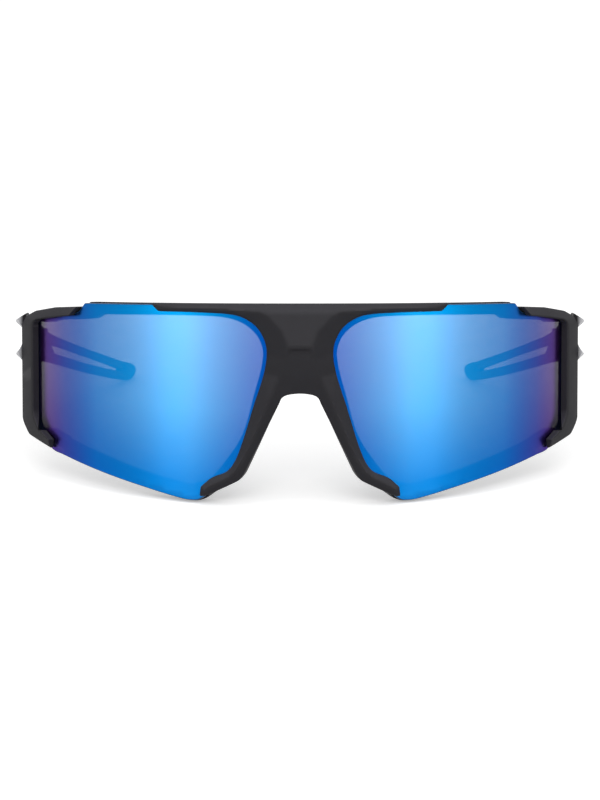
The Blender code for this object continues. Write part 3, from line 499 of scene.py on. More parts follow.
def rest_pose():
    """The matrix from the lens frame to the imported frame, worked out from the left hinge."""
    joint = next(joint for joint in frame["joints"] if joint["name"] == "left_arm_fold")
    turn = Matrix.Rotation(-math.atan2(joint["axis"][1], joint["axis"][2]), 4, "X")
    hinge = Vector((HINGE.x, HINGE.y, HINGE_MIDDLE))
    return Matrix.Translation(Vector(joint["pos_m"]) - turn @ hinge) @ turn


REST = rest_pose()


def flip(form):
    """Mirrors a form to the other side."""
    bmesh.ops.scale(form, vec=(-1.0, 1.0, 1.0), verts=form.verts)
    bmesh.ops.reverse_faces(form, faces=form.faces)
    return form


def make_object(name, form):
    """A new object in the scene from a form, which is used up."""
    mesh = bpy.data.meshes.new(name)
    form.to_mesh(mesh)
    form.free()
    made = bpy.data.objects.new(name, mesh)
    bpy.context.scene.collection.objects.link(made)
    return made


def add_piece(name, form, side, body, materials, node):
    """Makes a piece of a form modelled for the +X side, mirrored where side is -1."""
    if side < 0:
        flip(form)
    bmesh.ops.transform(form, matrix=REST, verts=form.verts)
    piece = make_object(name, form)
    for material in materials:
        piece.data.materials.append(material)
    piece.data.shade_smooth()
    piece.data.set_sharp_from_angle(angle=SMOOTH_ANGLE)
    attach(piece, body)
    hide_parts(node)


def combine(form, operation, others):
    """The form after cutting away or joining the other forms, which are used up."""
    target, *tools = [make_object("helper", each) for each in [form] + others]
    for tool in tools:
        step = target.modifiers.new(operation, "BOOLEAN")
        step.operation = operation
        step.object = tool
        step.solver = "MANIFOLD"
    graph = bpy.context.evaluated_depsgraph_get()
    result = bmesh.new()
    result.from_object(target, graph)
    for used in [target] + tools:
        bpy.data.objects.remove(used)
    return result


def stand_on_floor(form):
    """Moves what would reach below the table up onto it."""
    back = REST.inverted()
    for point in form.verts:
        world = REST @ point.co
        if world.z < 0:
            world.z = 0
            point.co = back @ world


def bridge_bores(radius, start, end):
    """Round cutters at both bridge screws, between two depths behind the lens's front face."""
    return [rod(radius + SEAT_GAP, start, end, Matrix.Translation((0, 0, share * LENS_HALF_HEIGHT)))
            for share in BRIDGE_SCREW_SHARES]


def lens_outline():
    shares = LENS_TOP_SHARES + LENS_END_SHARES + LENS_BOTTOM_SHARES + LENS_NOSE_SHARES
    return both_halves(face_points(shares))


def rim_outline():
    """The lens's outline, a little proud, run on under the brackets and along the nose."""
    proud = offset_outline(lens_outline(), RIM_PROUD)
    top = proud[:len(LENS_TOP_SHARES)]
    first = len(LENS_TOP_SHARES) + len(LENS_END_SHARES)
    bottom = proud[first:first + len(LENS_BOTTOM_SHARES)]
    return both_halves(top + face_points(RIM_SIDE_SHARES) + bottom + face_points(RIM_NOSE_SHARES))


def build_lens(mirror, tint, edge):
    form = plate(flowing(lens_outline()), level(0.0), level(-LENS_THICKNESS), LENS_GRID,
                 LENS_EDGE_ROUND, LENS_EDGE_ROUND)
    bores = bridge_bores(BRIDGE_SCREW_RADIUS, -OVERRUN, LENS_THICKNESS + OVERRUN)
    form = combine(form, "DIFFERENCE", bores)
    stand_on_floor(form)
    form.normal_update()
    for face in form.faces:
        middle = face.calc_center_median()
        outward = Vector((middle.x, middle.y - LENS_RADIUS, 0)).normalized()
        facing = face.normal.dot(outward)
        face.material_index = 0 if facing > FACING_LIMIT else 1 if facing < -FACING_LIMIT else 2
    add_piece("lens", form, 1, "front", [mirror, tint, edge], "shield_lens")


def bracket_rings():
    """Sections of the C-shaped bracket, from its upper end to its lower end."""
    inner = soften(face_points(BRACKET_INNER_SHARES), BRACKET_BEND, closed=False)
    outer = soften(face_points(BRACKET_OUTER_SHARES), BRACKET_BEND, closed=False)
    stations = []
    for index in range(len(inner) - 1):
        reach = max((inner[index + 1] - inner[index]).length, (outer[index + 1] - outer[index]).length)
        pieces = max(1, math.ceil(reach / SWEEP_STEP))
        stations += [(inner[index].lerp(inner[index + 1], step / pieces),
                      outer[index].lerp(outer[index + 1], step / pieces)) for step in range(pieces)]
    stations.append((inner[-1], outer[-1]))
    rings = []
    for near, far in stations:
        width = (far - near).length
        crest = width * BRACKET_CREST_SHARE
        section = [(0, -BRACKET_DEPTH), (0, BRACKET_RISE), (crest, BRACKET_RISE),
                   (width, BRACKET_EDGE_RISE), (width, -BRACKET_DEPTH)]
        ring = []
        for across, rise in soften(section, BRACKET_ROUND):
            place = near.lerp(far, across / width)
            ring.append((place.x, place.y, rise))
        rings.append(ring)
    ends = [end_cap(rings[0], rings[1]), end_cap(rings[-1], rings[-2])]
    return [[on_lens(*point) for point in ring] for ring in [ends[0]] + rings + [ends[1]]]


def end_cap(ring, inner_ring):
    """A smaller ring a little outside the last one, which makes a chamfer."""
    centre = sum((Vector(point) for point in ring), Vector((0, 0, 0))) / len(ring)
    before = sum((Vector(point) for point in inner_ring), Vector((0, 0, 0))) / len(ring)
    shift = (centre - before).normalized() * BRACKET_ROUND / 2
    size = max((Vector(point) - centre).length for point in ring)
    shrink = 1 - BRACKET_ROUND / 2 / size
    return [tuple(centre + (Vector(point) - centre) * shrink + shift) for point in ring]


def lug_plan():
    """Plan of a frame lug: round the hinge axis, and forward into the bracket."""
    half = RING_SIDES // 2
    plan = [(HINGE.x + KNUCKLE_RADIUS * math.cos(math.pi * index / half),
             HINGE.y + KNUCKLE_RADIUS * math.sin(math.pi * index / half)) for index in range(half + 1)]
    return plan + [(HINGE.x - KNUCKLE_RADIUS, HINGE.y - LUG_REACH),
                   (HINGE.x + KNUCKLE_RADIUS, HINGE.y - LUG_REACH)]


def hinge_cutters():
    """The screw's bore through both lugs, the head's recess and the nut's pocket."""
    lower, upper = LUG_SPANS
    head_seat = upper[1] - HINGE_SCREW_HEAD_HEIGHT - HINGE_WASHER_THICKNESS - 2 * RUNNING_GAP
    nut_seat = lower[0] + HINGE_NUT_HEIGHT + RUNNING_GAP
    spans = [
        (HINGE_SCREW_RADIUS, lower[0] - OVERRUN, upper[1] + OVERRUN),
        (HINGE_SCREW_HEAD_RADIUS, head_seat, upper[1] + OVERRUN),
        (HINGE_NUT_RADIUS, lower[0] - OVERRUN, nut_seat),
    ]
    return [upright_prism(circle_points(HINGE, radius + RUNNING_GAP), low, high)
            for radius, low, high in spans]


def clear_boxes():
    """What is cut away behind the lens's end, to the inner side of the hinge's lugs beside them."""
    inner = on_lens(CLEAR_START_SHARE * LENS_HALF_WIDTH, 0, 0)
    outer = on_lens(CLEAR_WIDTH_SHARE * LENS_HALF_WIDTH, 0, 0)
    bottom, top = (share * LENS_HALF_HEIGHT for share in CLEAR_HEIGHT_SHARES)
    beside_lugs = HINGE.x - KNUCKLE_RADIUS
    low_lug, high_lug = LUG_SPANS[0][0] - SEAT_GAP, LUG_SPANS[1][1] + SEAT_GAP
    spans = ((bottom, low_lug, outer.x), (low_lug, high_lug, beside_lugs), (high_lug, top, outer.x))
    return [((inner.x, inner.y, low), (width, HINGE.y, high)) for low, high, width in spans]


def build_frame(plastic):
    groove_line = flowing(offset_outline(lens_outline(), SEAT_GAP))

    def front(places):
        return np.where(inside(places, groove_line), RIM_FRONT, RIM_FRONT + NOSE_LIP)

    eye = face_points(EYE_OPENING_SHARES)
    openings = [flowing(eye), flowing(mirrored(eye))]
    rim = plate(flowing(rim_outline()), front, level(RIM_BACK), RIM_GRID, 0.0, RIM_ROUND,
                holes=openings, steps_at=[groove_line])
    sides = []
    for side in (1, -1):
        bracket = sweep(bracket_rings())
        groove = plate(groove_line, level(SEAT_GAP), level(RIM_FRONT), RIM_GRID, 0.0)
        opening = plate(openings[0], level(RIM_FRONT + OVERRUN), level(-BRACKET_DEPTH - OVERRUN),
                        RIM_GRID, 0.0)
        lugs = [upright_prism(lug_plan(), bottom, top) for bottom, top in LUG_SPANS]
        bracket = combine(bracket, "UNION", lugs)
        bracket = combine(bracket, "DIFFERENCE", [groove, opening] + hinge_cutters())
        if side < 0:
            flip(bracket)
        sides.append(bracket)
    form = combine(rim, "UNION", sides)
    cuts = []
    for low, high in clear_boxes():
        cuts += [box_form(low, high), flip(box_form(low, high))]
    head_seat = -RIM_BACK - BRIDGE_SCREW_HEAD_HEIGHT - SEAT_GAP
    cuts += bridge_bores(BRIDGE_SCREW_RADIUS, -RIM_FRONT - OVERRUN, -RIM_BACK + OVERRUN)
    cuts += bridge_bores(BRIDGE_SCREW_HEAD_RADIUS, head_seat, -RIM_BACK + OVERRUN)
    sockets = [rod(CORE_RADIUS + SEAT_GAP, -CORE_BITE - SEAT_GAP, OVERRUN, pad_frame()) for _ in range(2)]
    cuts += [sockets[0], flip(sockets[1])]
    form = combine(form, "DIFFERENCE", cuts)
    stand_on_floor(form)
    add_piece("rear_frame", form, 1, "front", [plastic], "main_frame")


def crease_surface(outline, edge, creases):
    """The cover's faceted face over its creases, as a tree to look rises up in."""
    wider = offset_outline(outline, OVERRUN)
    places = [Vector(point) for point in wider]
    rises = [edge] * len(places)
    lines = [(i, (i + 1) % len(places)) for i in range(len(places))]
    for points, heights in [(outline + outline[:1], [edge] * (len(outline) + 1))] + creases:
        first = len(places)
        places += [Vector(point) for point in points]
        rises += heights
        lines += [(i, i + 1) for i in range(first, len(places) - 1)]
    flat, _, triangles, sources, _, _ = delaunay_2d_cdt(
        places, lines, [list(range(len(wider)))], 1, WELD_REACH)
    corners = [Vector((point.x, point.y, rises[source[0]])) for point, source in zip(flat, sources)]
    return BVHTree.FromPolygons(corners, triangles)


def cover_creases():
    """The cover's crease lines, each with its rises: brow, panel, ledge and nose arms."""
    brow = face_points(BROW_CREASE_SHARES)
    panel = face_points(PANEL_SIDE_SHARES)
    nose = face_points(NOSE_CREST_SHARES)
    top, bottom = panel[0][1], panel[-1][1]
    brow_rises = [(COVER_CREST_RISE + COVER_EDGE_RISE) / 2] + [COVER_CREST_RISE] * (len(brow) - 1)
    panel_rises = [COVER_CREST_RISE + (COVER_PANEL_RISE - COVER_CREST_RISE) * (top - height) / (top - bottom)
                   for _, height in panel]
    ledge_rise = COVER_PANEL_RISE - COVER_LEDGE
    nose_rises = [COVER_PANEL_RISE, ledge_rise, COVER_CREST_RISE, COVER_CREST_RISE]
    nose_rises += [COVER_ARM_RISE] * (len(nose) - len(nose_rises))
    lines = []
    for points, rises in ((brow, brow_rises), (panel, panel_rises), (nose, nose_rises)):
        lines += [(points, rises), (mirrored(points), rises)]
    for end, rise in ((panel[0], COVER_CREST_RISE), (panel[-1], COVER_PANEL_RISE)):
        lines.append(([end] + mirrored([end]), [rise] * 2))
    lines.append((face_points(LEDGE_SHARES), [ledge_rise] * len(LEDGE_SHARES)))
    return lines


def build_cover(plastic):
    outline = both_halves(face_points(COVER_OUTLINE_SHARES))
    surface = crease_surface(outline, COVER_EDGE_RISE, cover_creases())
    down = Vector((0, 0, -1))
    above = 10 * COVER_PANEL_RISE
    spots = [Vector((0, 0))]
    for ring, count in SPOT_RINGS:
        spots += [Vector((math.cos(turn), math.sin(turn))) * ring * CREASE_SOFTNESS
                  for turn in (2 * math.pi * i / count for i in range(count))]

    def front(places):
        rises = []
        for x, y in places:
            hits = [surface.ray_cast(Vector((x + spot.x, y + spot.y, above)), down)[0] for spot in spots]
            heights = [hit.z for hit in hits if hit]
            rises.append(sum(heights) / len(heights) if heights else COVER_EDGE_RISE)
        return np.array(rises)

    form = plate(flowing(outline), front, level(SEAT_GAP), COVER_GRID, COVER_ROUND)
    bores = bridge_bores(BRIDGE_SCREW_RADIUS, -(BRIDGE_SCREW_BITE + 2 * SEAT_GAP), OVERRUN)
    form = combine(form, "DIFFERENCE", bores)
    add_piece("bridge_front", form, 1, "front", [plastic], "bridge_cover")


def pad_frame():
    """The matrix that stands a nose pad behind its nose arm: z along the arm, y away from the rim."""
    place = on_lens(PAD_WIDTH_SHARE * LENS_HALF_WIDTH, PAD_HEIGHT_SHARE * LENS_HALF_HEIGHT, RIM_BACK)
    turn = Matrix.Rotation(-PAD_SPLAY, 4, "Z") @ Matrix.Rotation(-PAD_LEAN, 4, "Y")
    return Matrix.Translation(place) @ turn


def build_nose_pad(label, side, rubber):
    form = bmesh.new()
    bmesh.ops.create_uvsphere(form, u_segments=PAD_SEGMENTS[0], v_segments=PAD_SEGMENTS[1], radius=1.0)
    for point in form.verts:
        squared = [math.copysign(abs(value) ** PAD_SQUARENESS_SHARE, value) for value in point.co]
        point.co = Vector((squared[0] * PAD_THICKNESS / 2, squared[1] * PAD_DEPTH / 2 + PAD_DEPTH / 2
                           + PAD_STANDOFF, squared[2] * PAD_LENGTH / 2))
    bmesh.ops.transform(form, matrix=pad_frame(), verts=form.verts)
    pocket = rod(CORE_RADIUS + SEAT_GAP, 0, PAD_STANDOFF + CORE_REACH + SEAT_GAP, pad_frame())
    form = combine(form, "DIFFERENCE", [pocket])
    add_piece(f"pad_{label}", form, side, "front", [rubber], f"nose_pad_{label}")


def arm_inner(share):
    """Inner face of the arm: its x and y at a share of the length."""
    along = share * ARM_LENGTH
    return HINGE.x - ARM_INNER_OFFSET - along * math.tan(ARM_TOE_IN), HINGE.y + along


def arm_middle(share):
    """Height of the arm's middle line at a share of its length."""
    bow = 4 * ARM_SAG * share * (1 - share)
    return HINGE_MIDDLE + RUNNING_GAP - share * ARM_DROP - bow


def smooth_rows(rows, place):
    """A row between the rows of a table, on a smooth curve through them."""
    index = max(i for i in range(len(rows) - 1) if rows[i][0] <= place)
    first, second = rows[index], rows[index + 1]
    before, after = rows[max(index - 1, 0)], rows[min(index + 2, len(rows) - 1)]
    span = second[0] - first[0]
    made = [place]
    for column in range(1, len(first)):
        slopes = [(right[column] - left[column]) / (right[0] - left[0]) * span
                  for left, right in ((before, second), (first, after))]
        made.append(between(first[column], second[column], *slopes, (place - first[0]) / span))
    return made


def end_plane_y(x):
    """Where the plane just behind the bracket's end face lies at x."""
    return LENS_RADIUS - x / math.tan(END_ANGLE) + ARM_FRONT_GAP / math.sin(END_ANGLE)


def arm_ring(row):
    share, top, ridge_up, recess_up, recess_low, ridge_low, bottom, inner_up, inner_low, ridge, thick = row
    x, y = arm_inner(share)
    middle = arm_middle(share)
    width = thick * ARM_THICKNESS
    peak = width + ridge * RIDGE_HEIGHT
    shoulder = width * ARM_SHOULDER_SHARE
    across = [0, 0, shoulder, peak, width, width, peak, shoulder]
    heights = [inner_low, inner_up, top, ridge_up, recess_up, recess_low, ridge_low, bottom]
    section = [(step, height * ARM_HALF_HEIGHT) for step, height in zip(across, heights)]
    start = ARM_SECTION_SHARES[0][0]
    ring = []
    for step, height in soften(section, ARM_ROUND):
        place = y
        if share < 0:
            place = HINGE.y + (end_plane_y(x + step) - HINGE.y) * share / start
        ring.append(Vector((x + step, place, middle + height)))
    return ring


def arm_rings():
    start = ARM_SECTION_SHARES[0][0]
    count = math.ceil((1 - start) * ARM_LENGTH / SWEEP_STEP)
    places = [start + (1 - start) * index / count for index in range(count + 1)]
    return [arm_ring(smooth_rows(ARM_SECTION_SHARES, place)) for place in places]


def tongue_ring(along, margin):
    """A section of the arm's tongue, which the rubber tip slides over."""
    x, y = arm_inner(1)
    x += (ARM_SECTION_SHARES[-1][-1] * ARM_THICKNESS - TONGUE_THICKNESS) / 2 - along * math.tan(ARM_TOE_IN)
    middle = arm_middle(1 + along / ARM_LENGTH)
    thick = TONGUE_THICKNESS + margin
    tall = TONGUE_HALF_HEIGHT + margin
    corners = ((-margin, -tall), (-margin, tall), (thick, tall), (thick, -tall))
    return [Vector((x + step, y + along, middle + height)) for step, height in corners]


def arm_slot():
    """The long slot through the arm, between its two rails, with chamfered edges."""
    line = [(share * ARM_LENGTH, height * ARM_HALF_HEIGHT)
            for share, height in SLOT_TOP_SHARES + SLOT_BOTTOM_SHARES]
    line = evenly(soften(line, SLOT_BEND), SWEEP_STEP)
    wide = offset_outline(line, SLOT_CHAMFER)
    layers = [(wide, 0, -OVERRUN), (wide, 0, 0), (line, 0, SLOT_CHAMFER), (line, 1, -SLOT_CHAMFER),
              (wide, 1, 0), (wide, 1, RIDGE_HEIGHT + OVERRUN)]
    rings = []
    for outline, outer, shift in layers:
        ring = []
        for along, height in outline:
            share = along / ARM_LENGTH
            x, y = arm_inner(share)
            width = smooth_rows(ARM_SECTION_SHARES, share)[-1] * ARM_THICKNESS
            ring.append(Vector((x + outer * width + shift, y, arm_middle(share) + height)))
        rings.append(ring)
    return sweep(rings)


def build_arm(label, side, plastic):
    outside = HINGE.x + KNUCKLE_RADIUS + SEAT_GAP
    behind = HINGE.y + KNUCKLE_RADIUS + 2 * SEAT_GAP
    pocket = box_form((HINGE.x - ARM_THICKNESS, HINGE.y - 2 * LUG_REACH, HINGE_MIDDLE - 3 * ARM_HALF_HEIGHT),
                      (outside, behind, HINGE_MIDDLE + 3 * ARM_HALF_HEIGHT))
    form = combine(sweep(arm_rings()), "DIFFERENCE", [pocket])
    knuckle = upright_prism(circle_points(HINGE, KNUCKLE_RADIUS), KNUCKLE_BOTTOM, KNUCKLE_TOP)
    half = KNUCKLE_RADIUS / 2
    neck = box_form((HINGE.x - half, HINGE.y + half, KNUCKLE_BOTTOM + RUNNING_GAP),
                    (HINGE.x + KNUCKLE_RADIUS + OVERRUN, behind + OVERRUN, KNUCKLE_TOP - RUNNING_GAP))
    tongue = sweep([tongue_ring(place, 0) for place in (-OVERRUN, TONGUE_LENGTH)])
    form = combine(form, "UNION", [knuckle, neck, tongue])
    bush_hole = HINGE_SCREW_RADIUS + BUSH_WALL + 2 * RUNNING_GAP
    bore = upright_prism(circle_points(HINGE, bush_hole), KNUCKLE_BOTTOM - OVERRUN, KNUCKLE_TOP + OVERRUN)
    form = combine(form, "DIFFERENCE", [bore, arm_slot()])
    add_piece(f"arm_{label}", form, side, f"{label}_arm", [plastic],
              f"temple_arm_{label}")


def tip_ring(share, tall_share, thick_share):
    """A rounded section of the rubber tip."""
    along = SEAT_GAP + share * TIP_LENGTH
    x, y = arm_inner(1)
    x += ARM_SECTION_SHARES[-1][-1] * ARM_THICKNESS / 2 - along * math.tan(ARM_TOE_IN)
    middle = arm_middle(1 + along / ARM_LENGTH)
    tall = tall_share * TIP_HALF_HEIGHT
    thick = thick_share * TIP_THICKNESS / 2
    corners = [(across * thick, height * tall) for across, height in TIP_OUTLINE_SHARES]
    return [Vector((x + across, y + along, middle + height))
            for across, height in soften(corners, TIP_EDGE_ROUND)]


def build_tip(label, side, rubber):
    rings = [tip_ring(*smooth_rows(TIP_SECTION_SHARES, index / TIP_RINGS))
             for index in range(TIP_RINGS + 1)]
    pocket = sweep([tongue_ring(place, SEAT_GAP) for place in (-OVERRUN, TONGUE_LENGTH + SEAT_GAP)])
    form = combine(sweep(rings), "DIFFERENCE", [pocket])
    stand_on_floor(form)
    add_piece(f"tip_{label}", form, side, f"{label}_arm", [rubber],
              f"temple_tip_{label}")


class Wire:
    """A socket's value. The usual operators add the nodes that work them out."""

    def __init__(self, nodes, socket):
        self.nodes = nodes
        self.socket = socket

    def math(self, operation, *values):
        return self.nodes.node("ShaderNodeMath", {"operation": operation}, dict(enumerate(values)))

    def __add__(self, other):
        return self.math("ADD", self, other)

    def __radd__(self, other):
        return self.math("ADD", other, self)

    def __sub__(self, other):
        return self.math("SUBTRACT", self, other)

    def __rsub__(self, other):
        return self.math("SUBTRACT", other, self)

    def __mul__(self, other):
        return self.math("MULTIPLY", self, other)

    def __rmul__(self, other):
        return self.math("MULTIPLY", other, self)

    def __truediv__(self, other):
        return self.math("DIVIDE", self, other)

    def __abs__(self):
        return self.math("ABSOLUTE", self)


class Nodes:
    """The nodes that lead to one shader, and the one way to add to them."""

    def __init__(self, tree, shader):
        self.tree = tree
        self.shader = tree.nodes[shader]

    def set(self, socket, value):
        """Sets a socket of the shader, or links what varies to it."""
        self.fill(self.shader.inputs[socket], value)

    def fill(self, socket, value):
        if isinstance(value, Wire):
            self.tree.links.new(value.socket, socket)
        else:
            socket.default_value = value

    def node(self, kind, settings=None, sockets=None, output=0):
        """Adds a node: its settings first, then the values or links of its sockets."""
        made = self.tree.nodes.new(kind)
        for name, value in (settings or {}).items():
            if name == "stops":
                self.set_stops(made.color_ramp, value)
            else:
                setattr(made, name, value)
        for name, value in (sockets or {}).items():
            self.fill(made.inputs[name], value)
        return Wire(self, made.outputs[output])

    def set_stops(self, ramp, stops):
        ramp.interpolation = "B_SPLINE" if len(stops) > LINEAR_STOPS else "LINEAR"
        for place, _ in stops[2:]:
            ramp.elements.new(place)
        for element, (place, colour) in zip(sorted(ramp.elements, key=lambda e: e.position), sorted(stops)):
            element.position = place
            element.color = (*colour, 1.0) if isinstance(colour, tuple) else (colour, colour, colour, 1.0)

    def seen(self):
        """1 for what the camera sees directly, in a reflection or through something clear, else 0."""
        share = self.node("ShaderNodeLightPath", output="Is Camera Ray")
        for ray in ("Is Glossy Ray", "Is Transmission Ray"):
            share = share.math("MAXIMUM", share, self.node("ShaderNodeLightPath", output=ray))
        return share


class Finish(Nodes):
    """A material with one Principled shader."""

    def __init__(self, name, colour, roughness, fixed=None):
        self.material = bpy.data.materials.new(name)
        self.material.use_nodes = True
        super().__init__(self.material.node_tree, "Principled BSDF")
        self.set("Base Color", (*colour, 1.0))
        self.set("Roughness", roughness)
        for socket, value in (fixed or {}).items():
            self.set(socket, value)

    def place(self):
        return self.node("ShaderNodeTexCoord", output="Object")

    def axis(self, letter):
        return self.node("ShaderNodeSeparateXYZ", sockets={0: self.place()}, output="XYZ".index(letter))

    def noise(self, size, detail=2.0, stretch=None):
        """Soft noise with features of a size in metres."""
        vector = self.place()
        if stretch:
            vector = self.node("ShaderNodeMapping", sockets={"Vector": vector, "Scale": stretch})
        return self.node("ShaderNodeTexNoise",
                         sockets={"Vector": vector, "Scale": 1 / size, "Detail": detail}, output="Fac")

    def ramp(self, value, stops):
        return self.node("ShaderNodeValToRGB", {"stops": stops}, {"Fac": value})

    def clamp(self, value, low, high):
        """The value spread from 0 at low to 1 at high."""
        return self.node("ShaderNodeMapRange", sockets={"Value": value, "From Min": low, "From Max": high})

    def blend(self, share, first, second):
        """A colour between two, by a share."""
        return self.node("ShaderNodeMix", {"data_type": "RGBA"},
                         {"Factor": share, 6: self.colour(first), 7: self.colour(second)}, output=2)

    def colour(self, value):
        return value if isinstance(value, Wire) else (*value, 1.0)

    def bump(self, height, depth):
        """Feeds the normal from a height between 0 and 1 that stands for a depth in metres."""
        self.set("Normal", self.node("ShaderNodeBump", sockets={"Height": height, "Distance": depth}))

    def edges(self, low, high):
        """1 on outer edges and 0 on flat faces."""
        return self.clamp(self.node("ShaderNodeNewGeometry", output="Pointiness"), low, high)

    def upward(self):
        """How far the surface faces up: 1 on a level top and 0 on an upright face."""
        normal = self.node("ShaderNodeNewGeometry", output="Normal")
        return self.node("ShaderNodeSeparateXYZ", sockets={0: normal}, output=2)


# Plastic: the moulded body, what hands make of its edges, and painted light on faces that turn up and on the
# arms' ribs
NYLON = (0.012, 0.0115, 0.014)
NYLON_DARK = (0.009, 0.0085, 0.011)
NYLON_LIGHT = (0.013, 0.0125, 0.015)
# Painted light on faces that turn up, as if lit from above
NYLON_PAINTED_LIGHT = (0.034, 0.033, 0.038)
NYLON_RUBBED = (0.040, 0.037, 0.039)
# Painted sheen on the arms' ribs, standing in for their grazing reflection
NYLON_PAINTED_SHEEN = (0.50, 0.50, 0.52)
NYLON_GRAIN = 0.12 * MM
NYLON_MOTTLE = 3 * MM
NYLON_GRAIN_DEPTH = 0.008 * MM
PAINTED_LIGHT_SPAN = (0.15, 0.6)  # how far a face turns up where the painted light starts, and where it is full
WEAR_SPAN = (0.52, 0.60)  # how sharp an edge is where wear starts, and where it is full

# Rubber
RUBBER = (0.016, 0.016, 0.017)
RUBBER_DARK = (0.012, 0.012, 0.013)
RUBBER_LIGHT = (0.022, 0.022, 0.023)
RUBBER_GRAIN = 0.2 * MM
RUBBER_BLOOM = 5 * MM
RUBBER_GRAIN_DEPTH = 0.012 * MM

# Metals: clean and stained
STEEL = ((0.60, 0.60, 0.62), (0.42, 0.42, 0.44))
BRASS = ((0.75, 0.58, 0.28), (0.50, 0.36, 0.16))
METAL_RINGS = 0.05 * MM
METAL_RINGS_STRETCH = (0.15, 0.15, 1.0)
METAL_STAIN = 0.8 * MM
METAL_RINGS_DEPTH = 0.002 * MM


def moulded_plastic(name, rib_start=None):
    """Matt black plastic, with a painted sheen on the ribs where the arm stands further out than a width."""
    finish = Finish(name, NYLON, 0.6, {"Specular IOR Level": 0.18})
    grain = finish.noise(NYLON_GRAIN, 3.0)
    mottle = finish.noise(NYLON_MOTTLE, 3.0)
    rubbed = finish.edges(*WEAR_SPAN) * (0.35 + 0.65 * mottle)
    body = finish.blend(mottle, NYLON_DARK, NYLON_LIGHT)
    # Painted light: what faces up is made lighter, as if lit from above
    painted_light = finish.clamp(finish.upward(), *PAINTED_LIGHT_SPAN)
    body = finish.blend(painted_light * (0.6 + 0.4 * mottle), body, NYLON_PAINTED_LIGHT)
    colour = finish.blend(0.5 * rubbed, body, NYLON_RUBBED)
    roughness = 0.56 + 0.10 * mottle + 0.06 * grain - 0.12 * rubbed
    if rib_start:
        # Painted sheen: the ribs are made light grey and glossier
        rib_sheen = finish.clamp(abs(finish.axis("X")), rib_start, rib_start + RIB_FADE)
        colour = finish.blend(rib_sheen * (0.8 + 0.2 * mottle), colour, NYLON_PAINTED_SHEEN)
        roughness = roughness - 0.2 * rib_sheen
    finish.set("Base Color", colour)
    finish.set("Roughness", roughness)
    finish.bump(grain, NYLON_GRAIN_DEPTH)
    return finish.material


def soft_rubber():
    finish = Finish("soft_rubber", RUBBER, 0.8, {"Specular IOR Level": 0.3})
    grain = finish.noise(RUBBER_GRAIN, 4.0)
    bloom = finish.noise(RUBBER_BLOOM, 2.0)
    finish.set("Base Color", finish.blend(bloom, RUBBER_DARK, RUBBER_LIGHT))
    finish.set("Roughness", 0.70 + 0.15 * grain)
    finish.bump(grain, RUBBER_GRAIN_DEPTH)
    return finish.material


def turned_metal(name, clean, stained):
    finish = Finish(name, clean, 0.3, {"Metallic": 1.0})
    rings = finish.noise(METAL_RINGS, 2.0, stretch=METAL_RINGS_STRETCH)
    stain = finish.noise(METAL_STAIN, 3.0)
    finish.set("Base Color", finish.blend(0.5 * stain, clean, stained))
    finish.set("Roughness", 0.22 + 0.2 * rings + 0.1 * stain)
    finish.bump(rings, METAL_RINGS_DEPTH)
    return finish.material


LINEAR_STOPS = 4  # a ramp with more stops runs through a smooth curve
# Mirror coating by the place across the lens: share of the half chord, colour, opacity. The bright,
# more see-through stop at 0.43 is a painted reflection of the front lights; the rest is the coating's
# colour.
COATING_AND_PAINTED_REFLECTION_STOPS = [
    (0.15, (0.0, 0.07, 0.45), 0.8),
    (0.30, (0.0, 0.28, 0.75), 0.7),
    (0.43, (0.0, 0.38, 0.83), 0.6),
    (0.75, (0.0, 0.15, 0.50), 0.9),
    (0.88, (0.02, 0.04, 0.28), 0.9),
    (0.96, (0.10, 0.03, 0.20), 0.8),
]
# Painted shade: the coating's reflection is darker low on the lens
LOW_PAINTED_SHADE = (1.0, 0.72, 0.90)
LOW_SHADE_SPAN = (24 * MM, 6 * MM)  # heights over the table
# Opacity of the lens's back face by height over the table, as a share of the lens's height: opacity. It is
# higher low on the lens, so that it looks darker to see through there.
TINT_STOPS = [(0.1, 0.95), (0.5, 0.65), (0.9, 0.4)]
COATING = (0.05, 0.25, 0.75)
COATING_HAZE = 4 * MM
SMOKE = (0.02, 0.02, 0.024)
SMOKE_HAZE = 6 * MM
EDGE = (0.02, 0.06, 0.13)
EDGE_DARK = (0.01, 0.05, 0.12)
EDGE_LIGHT = (0.03, 0.09, 0.20)
EDGE_STREAKS = 0.4 * MM


def mirror_coating():
    finish = Finish("blue_mirror_coating", COATING, 0.3, {"Metallic": 1.0})
    across = abs(finish.axis("X")) / LENS_CHORD
    haze = finish.noise(COATING_HAZE, 2.0)
    # Painted reflection: the coating's colour and opacity carry a bright band where the front lights reflect
    colour = finish.ramp(across, [(place, colour) for place, colour, _ in COATING_AND_PAINTED_REFLECTION_STOPS])
    # Painted shade: darker low on the lens
    low = finish.clamp(finish.axis("Z"), *LOW_SHADE_SPAN)
    finish.set("Base Color", finish.node("ShaderNodeMix", {"data_type": "RGBA", "blend_type": "MULTIPLY"},
                                         {"Factor": low, 6: colour, 7: (*LOW_PAINTED_SHADE, 1.0)}, output=2))
    finish.set("Alpha", finish.ramp(across, [(place, alpha) for place, _, alpha in COATING_AND_PAINTED_REFLECTION_STOPS]))
    finish.set("Roughness", 0.27 + 0.05 * haze)
    return finish.material


def lens_tint():
    finish = Finish("smoke_tint", SMOKE, 0.05, {"Specular IOR Level": 0.3})
    haze = finish.noise(SMOKE_HAZE, 2.0)
    finish.set("Alpha", finish.ramp(finish.axis("Z") / (2 * LENS_HALF_HEIGHT), TINT_STOPS))
    finish.set("Roughness", 0.04 + 0.04 * haze)
    return finish.material


